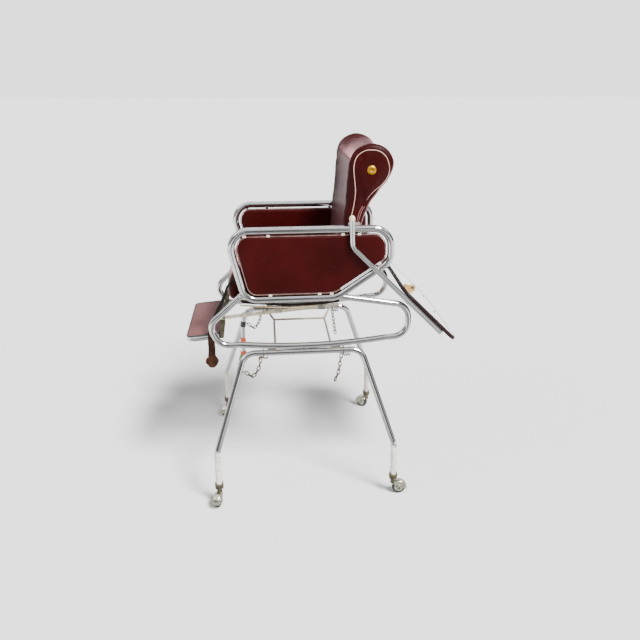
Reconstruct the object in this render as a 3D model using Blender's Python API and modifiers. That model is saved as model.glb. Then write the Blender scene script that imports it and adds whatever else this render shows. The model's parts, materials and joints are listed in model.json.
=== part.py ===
"""Wheeled dental chair: a tubular chair unit chained down on a tubular wheeled base.

Metres, +Z up. The sitter faces -Y and the sitter's left is +X. Everything is laid out in a chair
frame (X = 0 on the middle plane, Y = 0 midway along the arms, Z = 0 on the floor), and one empty,
chair_origin, then carries it so that the origin stands under the middle of the bounding box.
Outlines that lie in a side view are lists of (y, z) points.
"""

import math

import bmesh
import bpy
from mathutils import Matrix, Vector

# ---------------------------------------------------------------- driving dimensions
GAP = 0.0003                      # clearance between pieces that touch
TUBE_R = 0.0127                   # 1 inch tube of the arm loops
LOWER_TUBE_R = 0.0111             # 7/8 inch tube of the lower loops and the base
SHELF_TUBE_R = 0.0095             # 3/4 inch tube of the rear shelf frame
RAIL_R = 0.0095                   # seat cross rails
LOOP_X = 0.250                    # middle plane of the arm loops and the lower loops

ARM_TOP_Z = 0.989
ARM_BOTTOM_Z = 0.745
ARM_REAR_Y = 0.274

ROCKER_Z = 0.567                  # lowest centreline point of the lower loops
ROCKER_Y = -0.030
ROCKER_RADIUS = 2.2

BASE_RAIL_X = LOOP_X
BASE_RAIL_Z = 0.5435
BASE_RAIL_FRONT_Y = -0.247
BASE_RAIL_REAR_Y = 0.176
FOOT_X = 0.360
FOOT_FRONT_Y = -0.357
FOOT_REAR_Y = 0.286
KNEE_Z = 0.208                    # where the splayed legs turn upright
LEG_END_Z = 0.078

PANEL_THICKNESS = 0.020
PANEL_INSET = 0.0215              # from the arm tube's centreline to the panel's edge

SEAT_BOARD_Z = 0.750
SEAT_BOARD_THICKNESS = 0.012
SEAT_HALF_WIDTH = 0.234
SEAT_TOP_Z = 0.862
SEAT_REAR_Y = 0.112

BACK_HALF_WIDTH = 0.2325
HEAD_CENTRE = (0.209, 1.193)      # middle of the rolled head end, (y, z)
HEAD_R = 0.077
BACK_END_Z = 0.877
BACK_BOARD_TILT = math.radians(-4.5)
VENT_CENTRE = (0.208, 1.185)
VENT_R = 0.0145

SHELF_X = 0.2735                  # middle plane of the shelf tubes, just outside the arm loops
SHELF_BEND = (0.139, 0.930)       # corner between a shelf tube's upright and sloping lengths
SHELF_TUBE_TOP_Z = 1.022
SHELF_TUBE_LENGTH = 0.459         # from the bend down to the lower end
SHELF_SLOPE = math.radians(-45.0)
SHELF_START = 0.247               # along the slope from the bend to the board's upper edge
SHELF_DEPTH = 0.284
SHELF_HALF_WIDTH = 0.270
SHELF_THICKNESS = 0.012
PIVOT_FROM_BEND = 0.030           # pivot bolt, along the slope from the bend
BOLT_R = 0.004

BAR_X = 0.190                     # the two flat bars that carry the footrest
BAR_FRONT = (-0.320, 0.662)
BAR_SLOPE = math.radians(5.0)
BAR_LENGTH = 0.420
BAR_HEIGHT = 0.012
BAR_THICKNESS = 0.005
CLAMP_Y = 0.034
GUIDE_Y = -0.112
FOOTREST_HALF_WIDTH = 0.195
FOOTREST_DEPTH = 0.120
FOOTREST_BOARD_THICKNESS = 0.012
FOOTREST_DROP = 0.055             # from the bars' centreline down to the board's top
FOOTREST_BAND = (0.0015, 0.017)   # edge band: thickness, height

WHEEL_R = 0.025
WHEEL_WIDTH = 0.018
WHEEL_BORE_R = 0.0033
CASTER_TRAIL = 0.022
HOOD_R = 0.0295
HOOD_WIDTH = 0.028
SWIVEL_PIN_R = 0.005

STRAP_X = 0.215
STRAP_THICKNESS = 0.004

LINK_LENGTH = 0.018               # chain link, along its wire's centreline
LINK_WIDTH = 0.0085
LINK_WIRE_R = 0.0013
LINK_PITCH = 0.0164

SIDES = {"left": 1, "right": -1}  # sign of X on each side

# ---------------------------------------------------------------- outlines in the side view
ARM_CORNERS = [(-0.292, ARM_TOP_Z), (-0.235, ARM_BOTTOM_Z), (0.085, ARM_BOTTOM_Z),
               (ARM_REAR_Y + 0.003, 0.872), (ARM_REAR_Y + 0.001, ARM_TOP_Z)]
ARM_RADII = [0.062, 0.055, 0.080, 0.055, 0.062]

NOSE_CORNERS = [(-0.368, 0.652), (-0.330, 0.577)]
NOSE_RADII = [0.045, 0.055]
TAIL_CORNERS = [(0.347, 0.592), (0.345, 0.707)]
TAIL_RADII = [0.055, 0.055]
NOSE_START = (-0.238, 0.771)
TAIL_END = (0.098, 0.7475)

SEAT_OUTLINE = [(SEAT_REAR_Y, SEAT_BOARD_Z + SEAT_BOARD_THICKNESS + GAP), (SEAT_REAR_Y, SEAT_TOP_Z),
                (-0.272, SEAT_TOP_Z), (-0.299, 0.728), (-0.262, 0.728),
                (-0.262, SEAT_BOARD_Z + SEAT_BOARD_THICKNESS + GAP)]
SEAT_RADII = [0.004, 0.016, 0.034, 0.012, 0.006, 0.0]

STRAP_OUTLINE = [(-0.303, 0.783), (-0.294, 0.779), (-0.301, 0.745), (-0.318, 0.702), (-0.340, 0.660),
                 (-0.352, 0.610), (-0.352, 0.548), (-0.343, 0.520), (-0.341, 0.494), (-0.366, 0.482),
                 (-0.389, 0.497), (-0.388, 0.522), (-0.376, 0.548), (-0.377, 0.610), (-0.366, 0.668),
                 (-0.343, 0.714), (-0.324, 0.745)]

FRONT_CHAIN = [(0.2500, -0.176, 0.528), (0.2534, -0.201, 0.480), (0.2558, -0.219, 0.459),
               (0.2581, -0.236, 0.470), (0.2590, -0.243, 0.492)]
REAR_CHAINS = {"left": [(LOOP_X, 0.106, 0.528), (LOOP_X, 0.098, 0.477), (LOOP_X, 0.083, 0.432)],
               "right": [(-LOOP_X, 0.116, 0.528), (-LOOP_X, 0.131, 0.408)]}

CASTERS = {                       # side, foot Y, heading the wheel trails towards, in degrees from +X
    "front_left": ("left", FOOT_FRONT_Y, -15.0),
    "rear_left": ("left", FOOT_REAR_Y, 90.0),
    "front_right": ("right", FOOT_FRONT_Y, -30.0),
    "rear_right": ("right", FOOT_REAR_Y, -125.0),
}


# ---------------------------------------------------------------- scene and helpers
def clear_scene():
    for old in list(bpy.data.objects):
        bpy.data.objects.remove(old, do_unlink=True)


clear_scene()
parts = bpy.data.collections.new("dental_chair")
cutters = bpy.data.collections.new("cutters")
bpy.context.scene.collection.children.link(parts)
bpy.context.scene.collection.children.link(cutters)


def material(name, colour, roughness, metallic=0.0):
    made = bpy.data.materials.new(name)
    made.use_nodes = True
    shader = made.node_tree.nodes["Principled BSDF"]
    shader.inputs["Base Color"].default_value = (*colour, 1.0)
    shader.inputs["Roughness"].default_value = roughness
    shader.inputs["Metallic"].default_value = metallic
    return made


CHROME = material("chrome", (0.78, 0.78, 0.79), 0.12, 1.0)
STEEL = material("dull_steel", (0.33, 0.32, 0.27), 0.45, 1.0)
VINYL = material("maroon_vinyl", (0.085, 0.010, 0.012), 0.32)
VINYL_MATT = material("maroon_footrest_vinyl", (0.16, 0.045, 0.045), 0.45)
WOOD = material("plywood", (0.40, 0.27, 0.15), 0.60)
WHITE = material("white_laminate", (0.80, 0.80, 0.78), 0.25)
DARK_EDGE = material("dark_edging", (0.030, 0.012, 0.010), 0.50)
IVORY = material("ivory_plastic", (0.80, 0.70, 0.52), 0.35)
BRASS = material("brass", (0.80, 0.56, 0.18), 0.28, 1.0)
RUBBER = material("black_rubber", (0.030, 0.030, 0.028), 0.60)
LEATHER = material("brown_leather", (0.120, 0.045, 0.020), 0.60)

joints = {}


def empty(name, matrix, parent=None):
    """Joint or group empty at a matrix of the chair frame."""
    made = bpy.data.objects.new(name, None)
    made.empty_display_size = 0.03
    parts.objects.link(made)
    made.matrix_basis = matrix
    joints[name] = matrix
    if parent:
        carry(made, parent)
    return made


def carry(thing, parent):
    """Parents an object to a group empty and leaves it where it stands in the chair frame."""
    thing.parent = bpy.data.objects[parent]
    thing.matrix_parent_inverse = joints[parent].inverted()


def finish_object(thing, finish, parent, collection=parts):
    collection.objects.link(thing)
    if finish:
        thing.data.materials.append(finish)
    carry(thing, parent)
    return thing


def fillet(corners, radii, closed=False, step=math.radians(15)):
    """Points of a path whose corners are rounded by arcs, in two or three dimensions."""
    flat = len(corners[0]) == 2
    points = [Vector((*c, 0.0)) if flat else Vector(c) for c in corners]
    path = []
    for index, corner in enumerate(points):
        radius = radii[index]
        is_end = not closed and index in (0, len(points) - 1)
        if is_end or radius == 0.0:
            path.append(corner)
            continue
        back = (points[index - 1] - corner).normalized()
        ahead = (points[(index + 1) % len(points)] - corner).normalized()
        turn = math.pi - back.angle(ahead)
        tangent = radius * math.tan(turn / 2)
        centre = corner + (back + ahead).normalized() * (radius / math.cos(turn / 2))
        start = corner + back * tangent - centre
        axis = back.cross(ahead).normalized()
        count = max(2, math.ceil(turn / step))
        for turned in range(count + 1):
            path.append(centre + Matrix.Rotation(-turn * turned / count, 3, axis) @ start)
    return [(p.x, p.y) for p in path] if flat else path


def side_view(points, x):
    """Lifts (y, z) points of a side view to the plane at x."""
    return [Vector((x, y, z)) for y, z in points]


def tube(name, points, radius, finish, parent="frame", closed=False, resolution=3, collection=parts):
    """Round tube along a list of points, with filled ends."""
    curve = bpy.data.curves.new(name, "CURVE")
    curve.dimensions = "3D"
    curve.bevel_depth = radius
    curve.bevel_resolution = resolution
    curve.use_fill_caps = True
    spline = curve.splines.new("POLY")
    spline.points.add(len(points) - 1)
    for point, place in zip(spline.points, points):
        point.co = (*place, 1.0)
    spline.use_cyclic_u = closed
    return finish_object(bpy.data.objects.new(name, curve), finish, parent, collection)


def flat_plate(name, outlines, thickness, finish, matrix, parent="frame", collection=parts):
    """Closed outlines in local XY, the first one outside and the rest holes, given a thickness."""
    curve = bpy.data.curves.new(name, "CURVE")
    curve.dimensions = "2D"
    curve.fill_mode = "BOTH"
    curve.extrude = thickness / 2
    for outline in outlines:
        spline = curve.splines.new("POLY")
        spline.points.add(len(outline) - 1)
        for point, (x, y) in zip(spline.points, outline):
            point.co = (x, y, 0.0, 1.0)
        spline.use_cyclic_u = True
    made = bpy.data.objects.new(name, curve)
    made.matrix_basis = matrix
    return finish_object(made, finish, parent, collection)


def facing_x(x):
    """Placement that turns local (X, Y, Z) into (Y, Z, X), centred on the plane at x."""
    return Matrix.Translation((x, 0, 0)) @ Matrix(((0, 0, 1, 0), (1, 0, 0, 0), (0, 1, 0, 0), (0, 0, 0, 1)))


def circle(centre, radius, count=20):
    turns = [2 * math.pi * k / count for k in range(count)]
    return [(centre[0] + radius * math.cos(a), centre[1] + radius * math.sin(a)) for a in turns]


def rounded_rectangle(low, high, radius):
    corners = [(low[0], low[1]), (high[0], low[1]), (high[0], high[1]), (low[0], high[1])]
    return fillet(corners, [radius] * 4, closed=True, step=math.radians(18))


def box(name, low, high, finish, parent="frame", collection=parts, matrix=Matrix()):
    low, high = Vector(low), Vector(high)
    mesh = bpy.data.meshes.new(name)
    shape = bmesh.new()
    size = high - low
    bmesh.ops.create_cube(shape, size=1.0)
    bmesh.ops.transform(shape, matrix=Matrix.Translation((low + high) / 2) @ Matrix.Diagonal((*size, 1.0)),
                        verts=shape.verts)
    shape.to_mesh(mesh)
    shape.free()
    made = bpy.data.objects.new(name, mesh)
    made.matrix_basis = matrix
    return finish_object(made, finish, parent, collection)


def turned(name, profile, finish, parent, matrix=Matrix(), steps=20, bored=False, collection=parts):
    """Solid turned about local Z from (radius, height) points that run down the outer side."""
    mesh = bpy.data.meshes.new(name)
    verts = [(radius, 0.0, height) for radius, height in profile]
    edges = [(k, k + 1) for k in range(len(verts) - 1)]
    if bored:
        edges.append((len(verts) - 1, 0))
    mesh.from_pydata(verts, edges, [])
    made = bpy.data.objects.new(name, mesh)
    made.matrix_basis = matrix
    screw = made.modifiers.new("turn", "SCREW")
    screw.axis = "Z"
    screw.steps = screw.render_steps = steps
    screw.use_merge_vertices = True
    screw.merge_threshold = 0.00001
    screw.use_smooth_shade = True
    return finish_object(made, finish, parent, collection)


def along_x(side, x, y, z):
    """Placement that points local +Z outwards, away from the middle plane."""
    return Matrix.Translation((side * x, y, z)) @ Matrix.Rotation(side * math.pi / 2, 4, "Y")


def as_mesh(thing):
    """Turns a curve object, or one with modifiers, into a plain mesh object of the same name."""
    name = thing.name
    depsgraph = bpy.context.evaluated_depsgraph_get()
    mesh = bpy.data.meshes.new_from_object(thing.evaluated_get(depsgraph))
    weld = bmesh.new()
    weld.from_mesh(mesh)
    bmesh.ops.remove_doubles(weld, verts=weld.verts, dist=0.000001)
    bmesh.ops.recalc_face_normals(weld, faces=weld.faces)
    weld.to_mesh(mesh)
    weld.free()
    collection = thing.users_collection[0]
    parent, inverse, basis = thing.parent, thing.matrix_parent_inverse.copy(), thing.matrix_basis.copy()
    finish = thing.data.materials[0] if thing.data.materials else None
    bpy.data.objects.remove(thing, do_unlink=True)
    made = bpy.data.objects.new(name, mesh)
    if finish and not mesh.materials:
        mesh.materials.append(finish)
    collection.objects.link(made)
    made.parent = parent
    made.matrix_parent_inverse = inverse
    made.matrix_basis = basis
    return made


def boolean(thing, other, operation="DIFFERENCE"):
    other.hide_render = True
    other.display_type = "WIRE"
    cut = thing.modifiers.new("boolean", "BOOLEAN")
    cut.operation = operation
    cut.solver = "EXACT"
    cut.object = other


def shade(thing, degrees=35.0):
    if thing.type == "MESH" and thing.data.polygons:
        thing.data.shade_smooth()
        thing.data.set_sharp_from_angle(angle=math.radians(degrees))


# ---------------------------------------------------------------- chair unit: tube frame
def arm_path():
    return fillet(ARM_CORNERS, ARM_RADII, closed=True)


def rocker_z(y):
    return ROCKER_Z + (y - ROCKER_Y) ** 2 / (2 * ROCKER_RADIUS)


def lower_path():
    """Open C from the arm loop's front corner, round the nose, along the rocker, up to the rear."""
    rocker_ends = (-0.262, 0.262)
    steps = 6
    span = rocker_ends[1] - rocker_ends[0]
    rocker = [(rocker_ends[0] + span * k / steps, rocker_z(rocker_ends[0] + span * k / steps))
              for k in range(steps + 1)]
    corners = [NOSE_START, *NOSE_CORNERS, *rocker, *TAIL_CORNERS, TAIL_END]
    radii = [0.0, *NOSE_RADII, *[0.0] * len(rocker), *TAIL_RADII, 0.0]
    return fillet(corners, radii, step=math.radians(15))


def make_loops(side_name, side):
    x = side * LOOP_X
    tube(f"arm_loop_{side_name}", side_view(arm_path(), x), TUBE_R, CHROME, closed=True)
    lower = as_mesh(tube(f"lower_loop_{side_name}", side_view(lower_path(), x), LOWER_TUBE_R, CHROME))
    cutter = as_mesh(tube(f"cut_arm_{side_name}", side_view(arm_path(), x), TUBE_R + GAP, None,
                          closed=True, collection=cutters))
    boolean(lower, cutter)
    shade(lower)


def make_side_panel(side_name, side):
    """Upholstered board inside the arm loop, with a hole for the pivot bolt."""
    inset = inset_outline(ARM_CORNERS, PANEL_INSET)
    radii = [radius - PANEL_INSET for radius in ARM_RADII]
    radii[2] = ARM_RADII[2] + PANEL_INSET / 2
    outline = fillet(inset, radii, closed=True, step=math.radians(15))
    hole = circle(PIVOT, BOLT_R + GAP, 12)
    flat_plate(f"side_panel_{side_name}", [outline, hole], PANEL_THICKNESS, VINYL, facing_x(side * LOOP_X))


def inset_outline(corners, distance):
    """Corners of a counter-clockwise outline moved inwards by a distance."""
    moved = []
    for index, here in enumerate(corners):
        here = Vector(here)
        before, after = Vector(corners[index - 1]), Vector(corners[(index + 1) % len(corners)])
        first, second = (here - before).normalized(), (after - here).normalized()
        normal_a, normal_b = Vector((-first.y, first.x)), Vector((-second.y, second.x))
        bisector = (normal_a + normal_b).normalized()
        moved.append(tuple(here + bisector * (distance / bisector.dot(normal_a))))
    return moved


def shelf_point(along, above=0.0):
    """Chair-frame (y, z) of a point measured along the shelf's slope from the bend, and above it."""
    c, s = math.cos(SHELF_SLOPE), math.sin(SHELF_SLOPE)
    return (SHELF_BEND[0] + along * c - above * s, SHELF_BEND[1] + along * s + above * c)


PIVOT = shelf_point(PIVOT_FROM_BEND)


def make_seat():
    half = LOOP_X - TUBE_R - GAP
    for name, y in (("seat_rail_front", -0.190), ("seat_rail_rear", 0.068)):
        tube(name, [Vector((-half, y, ARM_BOTTOM_Z - 0.005)), Vector((half, y, ARM_BOTTOM_Z - 0.005))],
             RAIL_R, STEEL)
    box("seat_board", (-0.228, -0.255, SEAT_BOARD_Z), (0.228, 0.105, SEAT_BOARD_Z + SEAT_BOARD_THICKNESS),
        WOOD)
    outline = fillet(SEAT_OUTLINE, SEAT_RADII, closed=True, step=math.radians(18))
    flat_plate("seat_cushion", [outline], 2 * SEAT_HALF_WIDTH, VINYL, facing_x(0.0))


def make_strap():
    flat_plate("leather_strap", [STRAP_OUTLINE], STRAP_THICKNESS, LEATHER, facing_x(STRAP_X))


# ---------------------------------------------------------------- back
def back_outline():
    """Inverted teardrop: a round head end on sides that close towards the lower end."""
    neck = [(0.1145, 0.995), (0.161, 0.995)]
    foot = [(0.107, BACK_END_Z), (0.152, BACK_END_Z)]
    start, end = math.radians(-38.0), math.radians(184.0)
    steps = 18
    head = []
    for k in range(steps + 1):
        angle = start + (end - start) * k / steps
        head.append((HEAD_CENTRE[0] + HEAD_R * math.cos(angle), HEAD_CENTRE[1] + HEAD_R * math.sin(angle)))
    return [foot[1], neck[1], (0.190, 1.058), *head, neck[0], foot[0]]


def make_back():
    cushion = as_mesh(flat_plate("back_cushion", [back_outline()], 2 * BACK_HALF_WIDTH, VINYL,
                                 facing_x(0.0), "back_hinge"))
    turn = Matrix.Translation((0, 0.1305, BACK_END_Z)) @ Matrix.Rotation(BACK_BOARD_TILT, 4, "X")
    box("back_board", (-0.200, -0.006, 0.002), (0.200, 0.006, 0.240), WOOD, "back_hinge", matrix=turn)
    slot = box("cut_back_slot", (-0.2005, -0.006 - GAP, -0.010), (0.2005, 0.006 + GAP, 0.241), None,
               "back_hinge", cutters, matrix=turn)
    boolean(cushion, slot)
    plate = fillet([(PIVOT[0] - 0.014, PIVOT[1] - 0.014), (PIVOT[0] + 0.014, PIVOT[1] - 0.014),
                    (PIVOT[0] + 0.010, 1.010), (PIVOT[0] - 0.034, 1.010)],
                   [0.012, 0.012, 0.006, 0.006], closed=True, step=math.radians(20))
    for side_name, side in SIDES.items():
        thickness = 0.0033
        x = side * (BACK_HALF_WIDTH + 2 * GAP + thickness / 2)
        flat_plate(f"back_hinge_plate_{side_name}", [plate, circle(PIVOT, BOLT_R + GAP, 12)], thickness,
                   STEEL, facing_x(x), "back_hinge")
        profile = [(0.0, 0.0014), (0.0060, 0.0014), (0.0072, 0.0032), (0.0118, 0.0032), (VENT_R, 0.0012),
                   (VENT_R, 0.0), (0.0, 0.0)]
        turned(f"back_vent_{side_name}", profile, BRASS, "back_hinge",
               along_x(side, BACK_HALF_WIDTH + GAP, *VENT_CENTRE))
    shade(cushion)


# ---------------------------------------------------------------- rear shelf and its pivot
def make_shelf_tube(side_name, side):
    x = side * SHELF_X
    corners = [(x, SHELF_BEND[0] - 0.002, SHELF_TUBE_TOP_Z), (x, *SHELF_BEND),
               (x, *shelf_point(SHELF_TUBE_LENGTH))]
    arm = as_mesh(tube(f"shelf_tube_{side_name}", fillet(corners, [0.0, 0.050, 0.0]), SHELF_TUBE_R, CHROME,
                       "shelf_hinge"))
    bore = turned(f"cut_shelf_bore_{side_name}", [(0.0, 0.0165), (BOLT_R + GAP, 0.0165),
                                                  (BOLT_R + GAP, 0.0), (0.0, 0.0)],
                  None, "shelf_hinge", along_x(side, SHELF_X - 0.0115, *PIVOT), steps=12,
                  collection=cutters)
    boolean(arm, bore)
    shade(arm)
    cap = [(0.0, 0.0190), (0.0045, 0.0180), (0.0085, 0.0145), (0.0102, 0.0090), (0.0102, 0.0), (0.0, 0.0)]
    turned(f"shelf_cap_{side_name}", cap, IVORY, "shelf_hinge",
           Matrix.Translation((x, SHELF_BEND[0] - 0.002, SHELF_TUBE_TOP_Z + GAP)), steps=16)


def make_pivot_bolt(side_name, side):
    """Bolt from the back's hinge plate through the side panel into the shelf tube."""
    start = BACK_HALF_WIDTH + 0.0020
    washer_low = LOOP_X + PANEL_THICKNESS / 2 + GAP - start
    washer_high = SHELF_X - SHELF_TUBE_R - GAP - start
    length = SHELF_X + 0.0035 - start
    profile = [(0.0, length), (BOLT_R, length), (BOLT_R, washer_high), (0.0085, washer_high),
               (0.0085, washer_low), (BOLT_R, washer_low), (BOLT_R, 0.0), (0.0, 0.0)]
    turned(f"pivot_bolt_{side_name}", profile, STEEL, "frame", along_x(side, start, *PIVOT), steps=12)


def make_shelf_board():
    bead = 0.003
    low = (-SHELF_HALF_WIDTH, SHELF_START)
    high = (SHELF_HALF_WIDTH, SHELF_START + SHELF_DEPTH)
    outer = rounded_rectangle(low, high, 0.045)
    inner_low, inner_high = (low[0] + bead, low[1] + bead), (high[0] - bead, high[1] - bead)
    inner = rounded_rectangle(inner_low, inner_high, 0.045 - bead)
    plate_low = (inner_low[0] + GAP, inner_low[1] + GAP)
    plate_high = (inner_high[0] - GAP, inner_high[1] - GAP)
    plate = rounded_rectangle(plate_low, plate_high, 0.045 - bead - GAP)
    middle = SHELF_TUBE_R + GAP + SHELF_THICKNESS / 2
    turn = Matrix.Translation((0, *SHELF_BEND)) @ Matrix.Rotation(SHELF_SLOPE, 4, "X")
    lifted = turn @ Matrix.Translation((0, 0, middle))
    flat_plate("shelf_board", [plate], SHELF_THICKNESS, WHITE, lifted, "shelf_hinge")
    flat_plate("shelf_edging", [outer, inner], SHELF_THICKNESS, DARK_EDGE, lifted, "shelf_hinge")
    make_catch(turn)


def make_catch(turn):
    """Upright catch on a small foot, near the board's upper edge."""
    x = 0.215
    top = SHELF_TUBE_R + GAP + SHELF_THICKNESS + GAP
    flange = [(0.252, top), (0.292, top), (0.294, top + 0.018), (0.286, top + 0.029),
              (0.272, top + 0.029), (0.262, top + 0.016), (0.247, top + 0.012)]
    catch = as_mesh(flat_plate("shelf_catch", [flange], 0.004, BRASS, turn @ facing_x(x), "shelf_hinge"))
    foot = box("cut_catch_foot", (x - 0.014, 0.254, top), (x + 0.014, 0.290, top + 0.003), None,
               "shelf_hinge", cutters, turn)
    boolean(catch, foot, "UNION")


# ---------------------------------------------------------------- footrest
def make_footrest():
    group = joints["footrest_slide"]
    half = BAR_THICKNESS / 2
    band_thickness, band_height = FOOTREST_BAND
    front = -0.1403
    rear = front + FOOTREST_DEPTH
    top = -FOOTREST_DROP
    board_low = (-FOOTREST_HALF_WIDTH + band_thickness + GAP, front + band_thickness + GAP)
    board_high = (FOOTREST_HALF_WIDTH - band_thickness - GAP, rear - band_thickness - GAP)
    board = rounded_rectangle(board_low, board_high, 0.012)
    lifted = group @ Matrix.Translation((0, 0, top - FOOTREST_BOARD_THICKNESS / 2))
    flat_plate("footrest_board", [board], FOOTREST_BOARD_THICKNESS, VINYL_MATT, lifted, "footrest_slide")
    outer = rounded_rectangle((-FOOTREST_HALF_WIDTH, front), (FOOTREST_HALF_WIDTH, rear),
                              0.012 + band_thickness + GAP)
    inner = rounded_rectangle((board_low[0] - GAP, board_low[1] - GAP),
                              (board_high[0] + GAP, board_high[1] + GAP), 0.012 + GAP)
    lowered = group @ Matrix.Translation((0, 0, top - 0.002 - band_height / 2))
    flat_plate("footrest_edge_band", [outer, inner], band_height, CHROME, lowered, "footrest_slide")
    for side_name, side in SIDES.items():
        inside = side * (BAR_X - half - GAP)
        box(f"footrest_bar_{side_name}", (side * BAR_X - half, -0.006, -BAR_HEIGHT / 2),
            (side * BAR_X + half, BAR_LENGTH, BAR_HEIGHT / 2), CHROME, "footrest_slide", matrix=group)
        band_low = top - 0.002 - band_height
        hanger = [(0.006, BAR_HEIGHT / 2), (-0.006, BAR_HEIGHT / 2), (rear + GAP, top - 0.004),
                  (rear + GAP, band_low - GAP), (front + 0.020, band_low - GAP),
                  (front + 0.020, band_low - 0.005), (rear + 0.012, band_low - 0.005), (0.006, -0.020)]
        width = 0.012
        centre = inside - side * width / 2
        flat_plate(f"footrest_bracket_{side_name}", [hanger], width, STEEL, group @ facing_x(centre),
                   "footrest_slide")


def bar_z(y):
    return BAR_FRONT[1] + (y - BAR_FRONT[0]) * math.tan(BAR_SLOPE)


def make_bar_holder(name, side, y, half_length):
    """Block under the seat board with a slot that the footrest bar slides through."""
    half_width, below = 0.011, 0.015
    block = box(name, (side * BAR_X - half_width, y - half_length, bar_z(y) - below),
                (side * BAR_X + half_width, y + half_length, SEAT_BOARD_Z - GAP), STEEL)
    slot = box(f"cut_{name}", (side * BAR_X - BAR_THICKNESS / 2 - 0.0004, 0.100, -BAR_HEIGHT / 2 - 0.0004),
               (side * BAR_X + BAR_THICKNESS / 2 + 0.0004, 0.450, BAR_HEIGHT / 2 + 0.0004), None,
               collection=cutters, matrix=joints["footrest_slide"])
    boolean(block, slot)


# ---------------------------------------------------------------- wheeled base
def make_base_frame(side_name, side):
    """Inverted U of one bent tube: a top rail and two splayed legs that end upright."""
    corners = [(side * FOOT_X, FOOT_FRONT_Y, LEG_END_Z), (side * FOOT_X, FOOT_FRONT_Y, KNEE_Z),
               (side * BASE_RAIL_X, BASE_RAIL_FRONT_Y, BASE_RAIL_Z),
               (side * BASE_RAIL_X, BASE_RAIL_REAR_Y, BASE_RAIL_Z),
               (side * FOOT_X, FOOT_REAR_Y, KNEE_Z), (side * FOOT_X, FOOT_REAR_Y, LEG_END_Z)]
    path = fillet(corners, [0.0, 0.060, 0.050, 0.050, 0.060, 0.0], step=math.radians(14))
    tube(f"base_frame_{side_name}", path, LOWER_TUBE_R, CHROME)


def make_brace():
    """Bent rod frame below the seat that ties the two base frames together."""
    radius, level = 0.004, 0.513
    half, front, rear = 0.190, -0.135, 0.077
    ring = rounded_rectangle((-half, front), (half, rear), 0.012)
    brace = as_mesh(tube("cross_brace", [Vector((x, y, level)) for x, y in ring], radius, STEEL,
                         closed=True, resolution=2))
    for side in SIDES.values():
        for y, out in ((front, -0.030), (rear, 0.026)):
            start = Vector((side * (half - 0.001), y, level))
            end = Vector((side * (BASE_RAIL_X - LOWER_TUBE_R - 0.0020), y + out, BASE_RAIL_Z - 0.0040))
            leg = as_mesh(tube("cut_brace_leg", [start, end], radius, None, resolution=2,
                               collection=cutters))
            boolean(brace, leg, "UNION")
    shade(brace)


# ---------------------------------------------------------------- chains
def link_ends(points, pitch, count):
    """Points along a path that stand one pitch apart in a straight line."""
    points = [Vector(p) for p in points]
    fine = []
    for start, end in zip(points, points[1:]):
        steps = math.ceil((end - start).length / 0.0001)
        fine += [start.lerp(end, k / steps) for k in range(steps)]
    last = (points[-1] - points[-2]).normalized()
    fine += [points[-1] + last * 0.0001 * k for k in range(400)]
    ends = [points[0]]
    for place in fine:
        if (place - ends[-1]).length >= pitch and len(ends) <= count:
            ends.append(place)
    return ends


def link_points(length, width, turn):
    """Stadium loop of eight points, long along local Z, turned about Z."""
    half, side = length / 2, width / 2
    corner = half - side * 0.75
    ring = [(side, corner), (side * 0.55, half), (-side * 0.55, half), (-side, corner),
            (-side, -corner), (-side * 0.55, -half), (side * 0.55, -half), (side, -corner)]
    return [Matrix.Rotation(turn, 3, "Z") @ Vector((x, 0.0, z)) for x, z in ring]


def make_chain(name, points, count, joint):
    """Links along a path, each one turned a quarter from the last and welded into one solid."""
    chain = None
    ends = link_ends(points, LINK_PITCH, count)
    for index, (start, end) in enumerate(zip(ends, ends[1:])):
        place = (start + end) / 2
        turn = (end - start).to_track_quat("Z", "X").to_matrix()
        quarter = math.radians(45.0 + 90.0 * (index % 2))
        ring = [place + turn @ p for p in link_points(LINK_LENGTH, LINK_WIDTH, quarter)]
        link_name = name if chain is None else f"cut_{name}_link"
        where = parts if chain is None else cutters
        link = as_mesh(tube(link_name, ring, LINK_WIRE_R, STEEL, joint, closed=True, resolution=0,
                            collection=where))
        if chain is None:
            chain = link
        else:
            boolean(chain, link, "UNION")


# ---------------------------------------------------------------- casters
def caster_matrix(side_name, foot_y, heading):
    """Swivel frame on the floor under the stem: local +X is the way the wheel trails."""
    place = Matrix.Translation((SIDES[side_name] * FOOT_X, foot_y, 0.0))
    return place @ Matrix.Rotation(math.radians(heading), 4, "Z")


def axle_matrix(swivel):
    """Local Z along the axle, at the wheel's centre."""
    return swivel @ Matrix.Translation((CASTER_TRAIL, 0, WHEEL_R)) @ Matrix.Rotation(math.pi / 2, 4, "X")


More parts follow.
